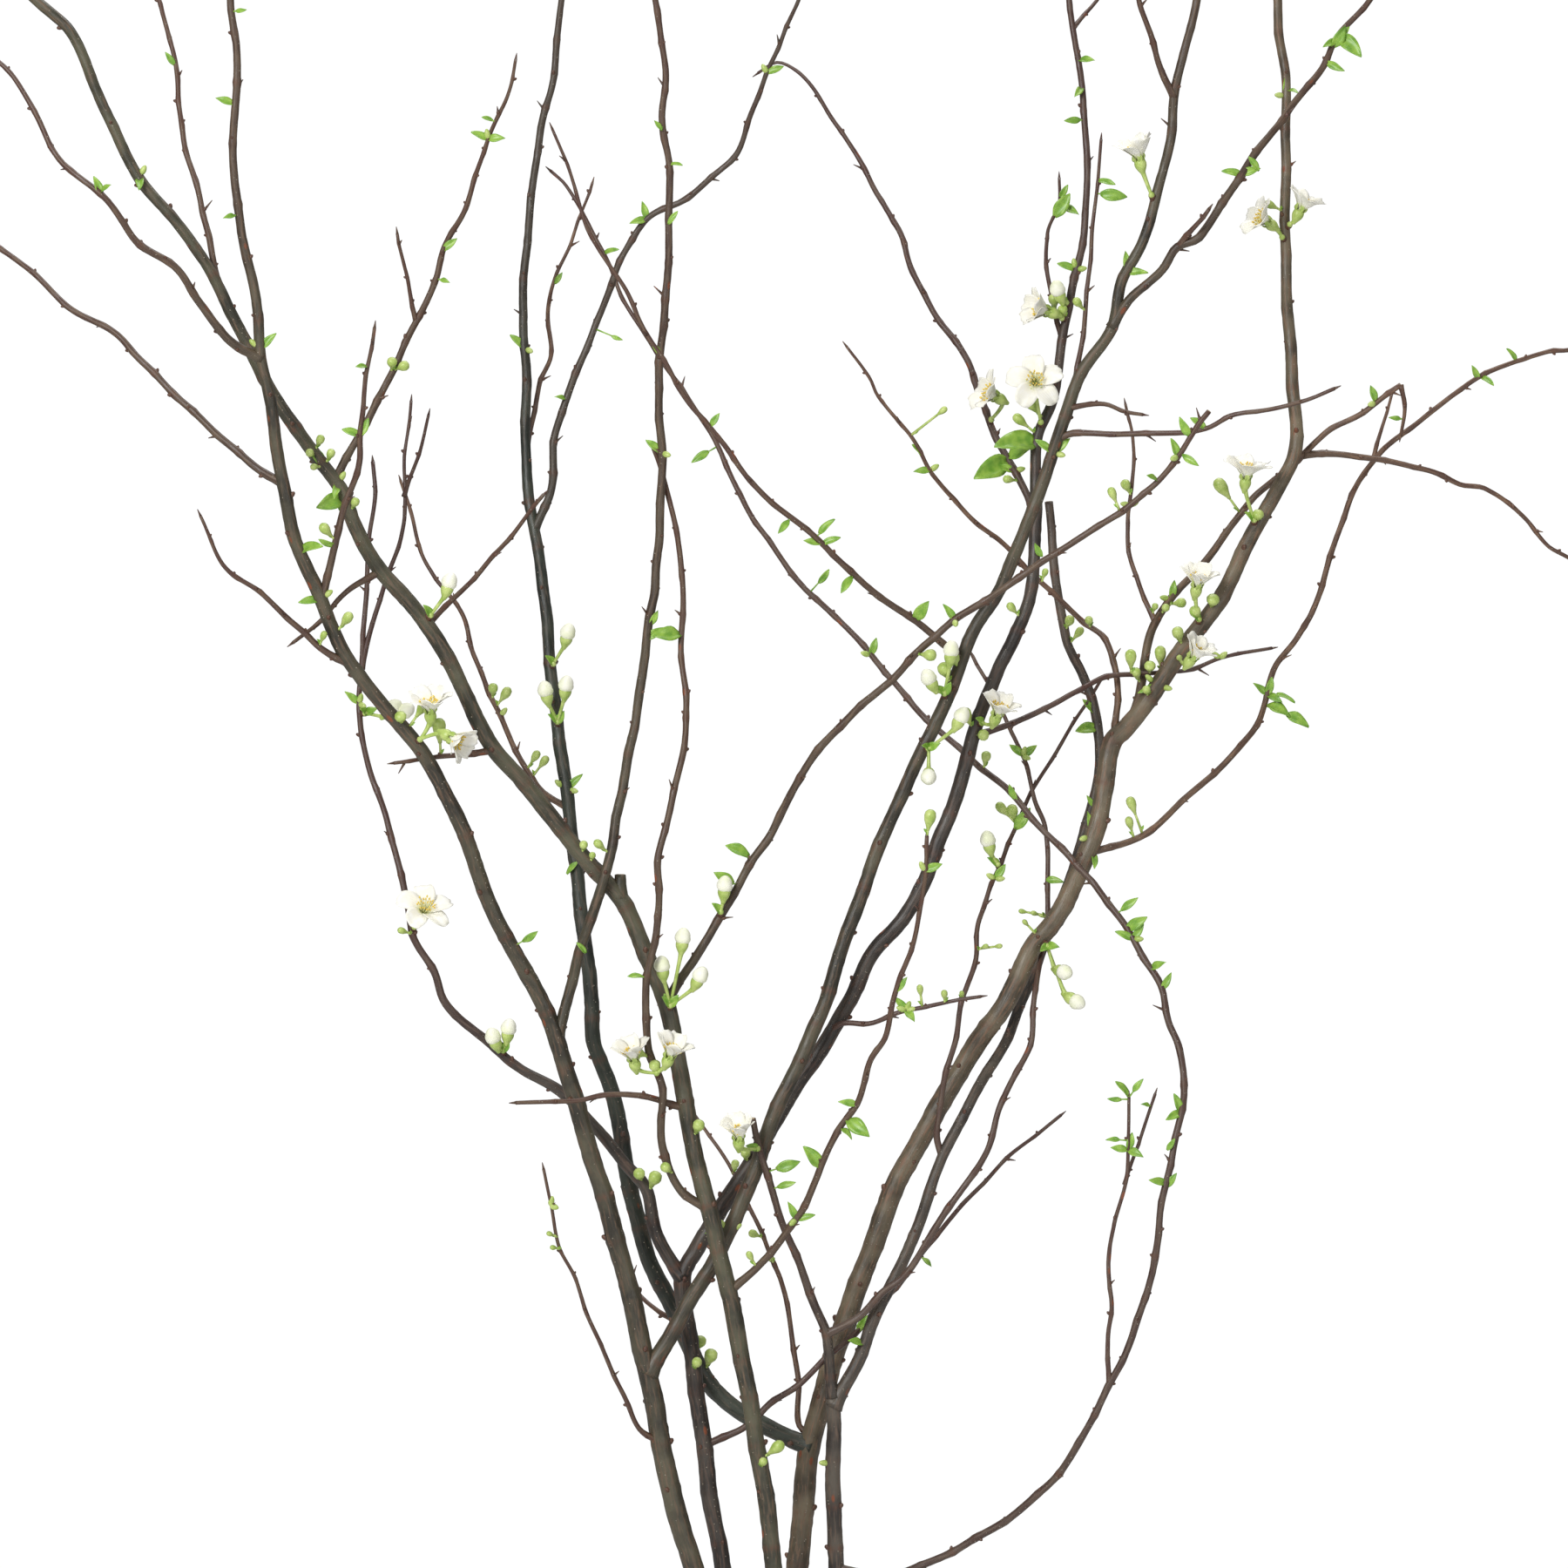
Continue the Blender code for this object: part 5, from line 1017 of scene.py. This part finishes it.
def make_spray(name, stem_name, place, flowers, buds, leaves):
    """One spray: a woody spur, then stalks with their flowers, closed buds and small leaves."""
    stem = stems[stem_name]
    x, height, depth, radius = nearest(stem, *place)
    root = seen(x, height, depth)
    middle = np.mean(np.array([flower[:3] for flower in flowers] + buds), axis=0)
    aim = (seen(middle[0], middle[1], depth + middle[2]) - root).normalized()
    aim = (aim + Vector((0, -SPUR_LEAN, 0))).normalized()
    spur_end = root + aim * (radius + SPUR_OUT) * MM
    spur = [root, root.lerp(spur_end, 0.6), spur_end]
    wood[stem["branch"]].append(stalk(spur, [1.9, 1.6, 2.1], bark_of(stem_name), thin=1, scar=0.7))
    fork = spur_end + aim * 0.9 * MM
    greens = [bud_at(fork, aim, 3.6, 3.6, CALYX)]
    creams = []
    for k, (cup_x, cup_height, past, facing, length, opening, open_wide) in enumerate(flowers):
        cup = seen(cup_x, cup_height, depth + past)
        face = Vector((facing[0], facing[2], facing[1])).normalized()
        foot = cup - face * CUP_LENGTH * MM
        number = k + int(place[0]) % 17
        bend = fork.lerp(foot, 0.5) - face * 1.2 * MM
        greens.append(stalk([fork, bend, foot, foot + face * 2 * MM], [1.0, 1.1, 1.5, 2.2], CALYX))
        greens.append(urn(foot - face * 3.4 * MM, face, CUP_LENGTH + 4.0, 3.5))
        greens += sepals(cup - face * 0.9 * MM, face, 2.1, 5.6, 1.0 if opening > WIDE_OPEN else 0.4)
        seat = cup + face * SEAT * MM
        petals = [petal_at(seat, face, k + place[0] + turn, length + 0.8, opening, number + j)
                  for j, turn in enumerate(FIVE_WAYS)]
        assembled(f"{name}_flower_{k + 1}", petals, "petal", f"{name}_petals_{k + 1}")
        tuft = stamens_at(seat + face * 0.5 * MM, face, length, number)
        assembled(f"{name}_anthers_{k + 1}", tuft, "stamen", *[f"{name}_stamens_{k + 1}"] * open_wide)
    for k, (bud_x, bud_height, past) in enumerate(buds):
        centre = seen(bud_x, bud_height, depth + past)
        out = ((centre - fork).normalized() + Vector((0, 0, 0.6))).normalized()
        foot = centre - out * BUD_FOOT * MM
        route = [fork, fork.lerp(foot, 0.6), foot, foot + out * 2 * MM]
        greens.append(stalk(route, [1.0, 1.0, 1.4, 2.2], CALYX))
        greens.append(urn(foot - out * 2.4 * MM, out, BUD_LENGTH, 3.7))
        greens += sepals(foot + out * 5.8 * MM, out, 2.5, 4.2, 0.3)
        creams.append(bud_at(centre + out * 0.6 * MM, out, BUD_LENGTH, BUD_WIDTH, CREAM, ROUND, 0.1))
    for k in range(leaves + len(buds)):
        out = aim + Vector((0.8 if k % 2 else -0.8, -0.4, 0.3 + 0.3 * k))
        greens.append(leaf_at(fork - out.normalized() * 0.8 * MM, out, *SPRAY_LEAF, FRONT, k))
    if creams:
        assembled(f"{name}_closed_buds", creams, "bud")
    assembled(f"{name}_stalks", greens, "green", name)


for number, spray in enumerate(SPRAYS, 1):
    make_spray(f"spray_{number:02d}", *spray)
WOOD_SLOT = {1: "bark", 2: "bark", 3: "bark", 4: "bark_grey", 5: "bark_olive"}
for branch, slot in WOOD_SLOT.items():
    assembled(f"branch_{branch}_bark", wood[branch], slot, f"branch_{branch}_wood")
    assembled(f"branch_{branch}_young_leaves", green[branch], "green")

# The vase, a plain blown cylinder of clear glass with a thick floor and a fire-polished rim
VASE_HEIGHT = 360
VASE_RADIUS = 68
VASE_WALL = 6
VASE_FLOOR = 14
WATER_LEVEL = 235
FOOT_ROUND = 5
LIP_ROUND = 3
INNER_ROUND = 8
BESIDE = 0.5
TURN_STEPS = 72
MERGE_WITHIN = 0.00001


def turned(name, outline, finish):
    """A profile spun about the vase's axis."""
    mesh = bpy.data.meshes.new(name)
    mesh.from_pydata([(radius * MM, 0, level * MM) for radius, level in outline],
                     [(i, i + 1) for i in range(len(outline) - 1)], [])
    made = bpy.data.objects.new(name, mesh)
    bpy.context.scene.collection.objects.link(made)
    bpy.context.view_layer.objects.active = made
    spin = made.modifiers.new("spin", "SCREW")
    spin.steps = TURN_STEPS
    spin.render_steps = TURN_STEPS
    spin.use_merge_vertices = True
    spin.merge_threshold = MERGE_WITHIN
    bpy.ops.object.modifier_apply(modifier="spin")
    bpy.ops.object.mode_set(mode="EDIT")
    bpy.ops.mesh.select_all(action="SELECT")
    bpy.ops.mesh.remove_doubles(threshold=MERGE_WITHIN)
    bpy.ops.mesh.normals_make_consistent(inside=False)
    bpy.ops.object.mode_set(mode="OBJECT")
    bpy.ops.object.select_all(action="DESELECT")
    made.select_set(True)
    bpy.ops.object.shade_smooth_by_angle(angle=math.radians(35))
    made.data.materials.append(finish)
    return made


def arc(centre_radius, centre_level, radius, start, end, count=6):
    angles = np.radians(np.linspace(start, end, count))
    return [(centre_radius + radius * math.cos(a), centre_level + radius * math.sin(a)) for a in angles]


def clear_finish(name, colour, roughness, ior):
    made, tree, shader = new_finish(name, roughness)
    coords = object_place(tree)
    bumped(tree, noise_of(tree, coords, 9, 2), shader, 0.05, 0.001)
    shader.inputs["Base Color"].default_value = (*colour, 1)
    shader.inputs["Transmission Weight"].default_value = 1
    shader.inputs["IOR"].default_value = ior
    return made


inner = VASE_RADIUS - VASE_WALL
# A ring just past each curve keeps the walls' shading straight, so they don't bend light like a lens.
glass_outline = [
    (0, 0), (VASE_RADIUS - FOOT_ROUND - BESIDE, 0),
    *arc(VASE_RADIUS - FOOT_ROUND, FOOT_ROUND, FOOT_ROUND, -90, 0), (VASE_RADIUS, FOOT_ROUND + BESIDE),
    (VASE_RADIUS, VASE_HEIGHT - LIP_ROUND - BESIDE),
    *arc(VASE_RADIUS - LIP_ROUND, VASE_HEIGHT - LIP_ROUND, LIP_ROUND, 0, 180, 9),
    (inner, VASE_HEIGHT - LIP_ROUND - BESIDE), (inner, VASE_FLOOR + INNER_ROUND + BESIDE),
    *arc(inner - INNER_ROUND, VASE_FLOOR + INNER_ROUND, INNER_ROUND, 0, -90),
    (inner - INNER_ROUND - BESIDE, VASE_FLOOR), (0, VASE_FLOOR)]
vase = turned("glass_vase", glass_outline, clear_finish("clear_glass", (0.97, 0.99, 0.98), 0.02, 1.47))
dressed(vase, "glass", "vase")

# The water stands against the glass all round, with its skin drawn up a little at the wall
WET = 0.2
SKIN_ROUND = 3
wet_wall = inner + WET
water_outline = [
    (0, VASE_FLOOR - WET), (inner - INNER_ROUND - BESIDE, VASE_FLOOR - WET),
    *arc(inner - INNER_ROUND, VASE_FLOOR + INNER_ROUND, INNER_ROUND + WET, -90, 0),
    (wet_wall, VASE_FLOOR + INNER_ROUND + BESIDE), (wet_wall, WATER_LEVEL + 2),
    *arc(wet_wall - SKIN_ROUND, WATER_LEVEL + SKIN_ROUND, SKIN_ROUND, -20, -90),
    (wet_wall - SKIN_ROUND - BESIDE, WATER_LEVEL), (0, WATER_LEVEL)]
water = turned("still_water", water_outline, clear_finish("water", (0.97, 0.99, 1), 0.0, 1.33))
dressed(water, "water", "water")

# The studio: a pale floor, soft lights and a white surround, seen from in front
FLOOR_RADIUS = 2.4
UNDER_VASE = 0.0003
bpy.ops.mesh.primitive_circle_add(vertices=96, radius=FLOOR_RADIUS, fill_type="NGON",
                                  location=(0, 0, -UNDER_VASE))
floor = bpy.context.object
floor.name = "studio_floor"
pale_floor, tree, shader = new_finish("pale_floor", 0.7)
cloudy = mixed(tree, noise_of(tree, object_place(tree), 3, 4), (0.78, 0.78, 0.77), (0.84, 0.84, 0.83))
tree.links.new(cloudy, shader.inputs["Base Color"])
floor.data.materials.append(pale_floor)
floor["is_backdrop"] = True


def softbox(name, place, size, watts):
    light = bpy.data.lights.new(name, "AREA")
    light.shape = "RECTANGLE"
    light.size, light.size_y = size
    light.energy = watts
    made = bpy.data.objects.new(name, light)
    made.location = place
    made.rotation_euler = (Vector((0, 0, 0.8)) - Vector(place)).to_track_quat("-Z", "Y").to_euler()
    bpy.context.scene.collection.objects.link(made)


LIGHT_ALL_ROUND = 0.3
WHITE_BEHIND = 1.05
softbox("key", (-1.3, -2.6, 2.0), (1.0, 1.5), 74)
softbox("fill", (1.5, -2.4, 1.0), (0.6, 1.4), 12)
softbox("top", (0.4, 0.6, 3.0), (1.6, 1.2), 30)
world = bpy.data.worlds.new("white_surround")
world.use_nodes = True
tree = world.node_tree
rays = node(tree, "ShaderNodeLightPath").outputs
unlit = worked_out(tree, "MAXIMUM", rays["Is Camera Ray"], rays["Is Transmission Ray"])
strength = ramp(tree, unlit, 0, 1, LIGHT_ALL_ROUND, WHITE_BEHIND)
tree.links.new(strength, tree.nodes["Background"].inputs["Strength"])
tree.nodes["Background"].inputs["Color"].default_value = (1, 1, 1, 1)
bpy.context.scene.world = world
bpy.context.scene.view_settings.view_transform = "Standard"

camera = bpy.data.objects.new("camera", bpy.data.cameras.new("camera"))
bpy.context.scene.collection.objects.link(camera)
camera.location = (0, -EYE_DISTANCE * MM, EYE_HEIGHT * MM)
camera.rotation_euler = (math.pi / 2, 0, 0)
camera.data.lens = 120
camera.data.sensor_width = 36
bpy.context.scene.camera = camera

boxes = {"cad": cad_box, "visual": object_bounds()}
boxes = {name: [list(map(float, corner)) for corner in box] for name, box in boxes.items()}
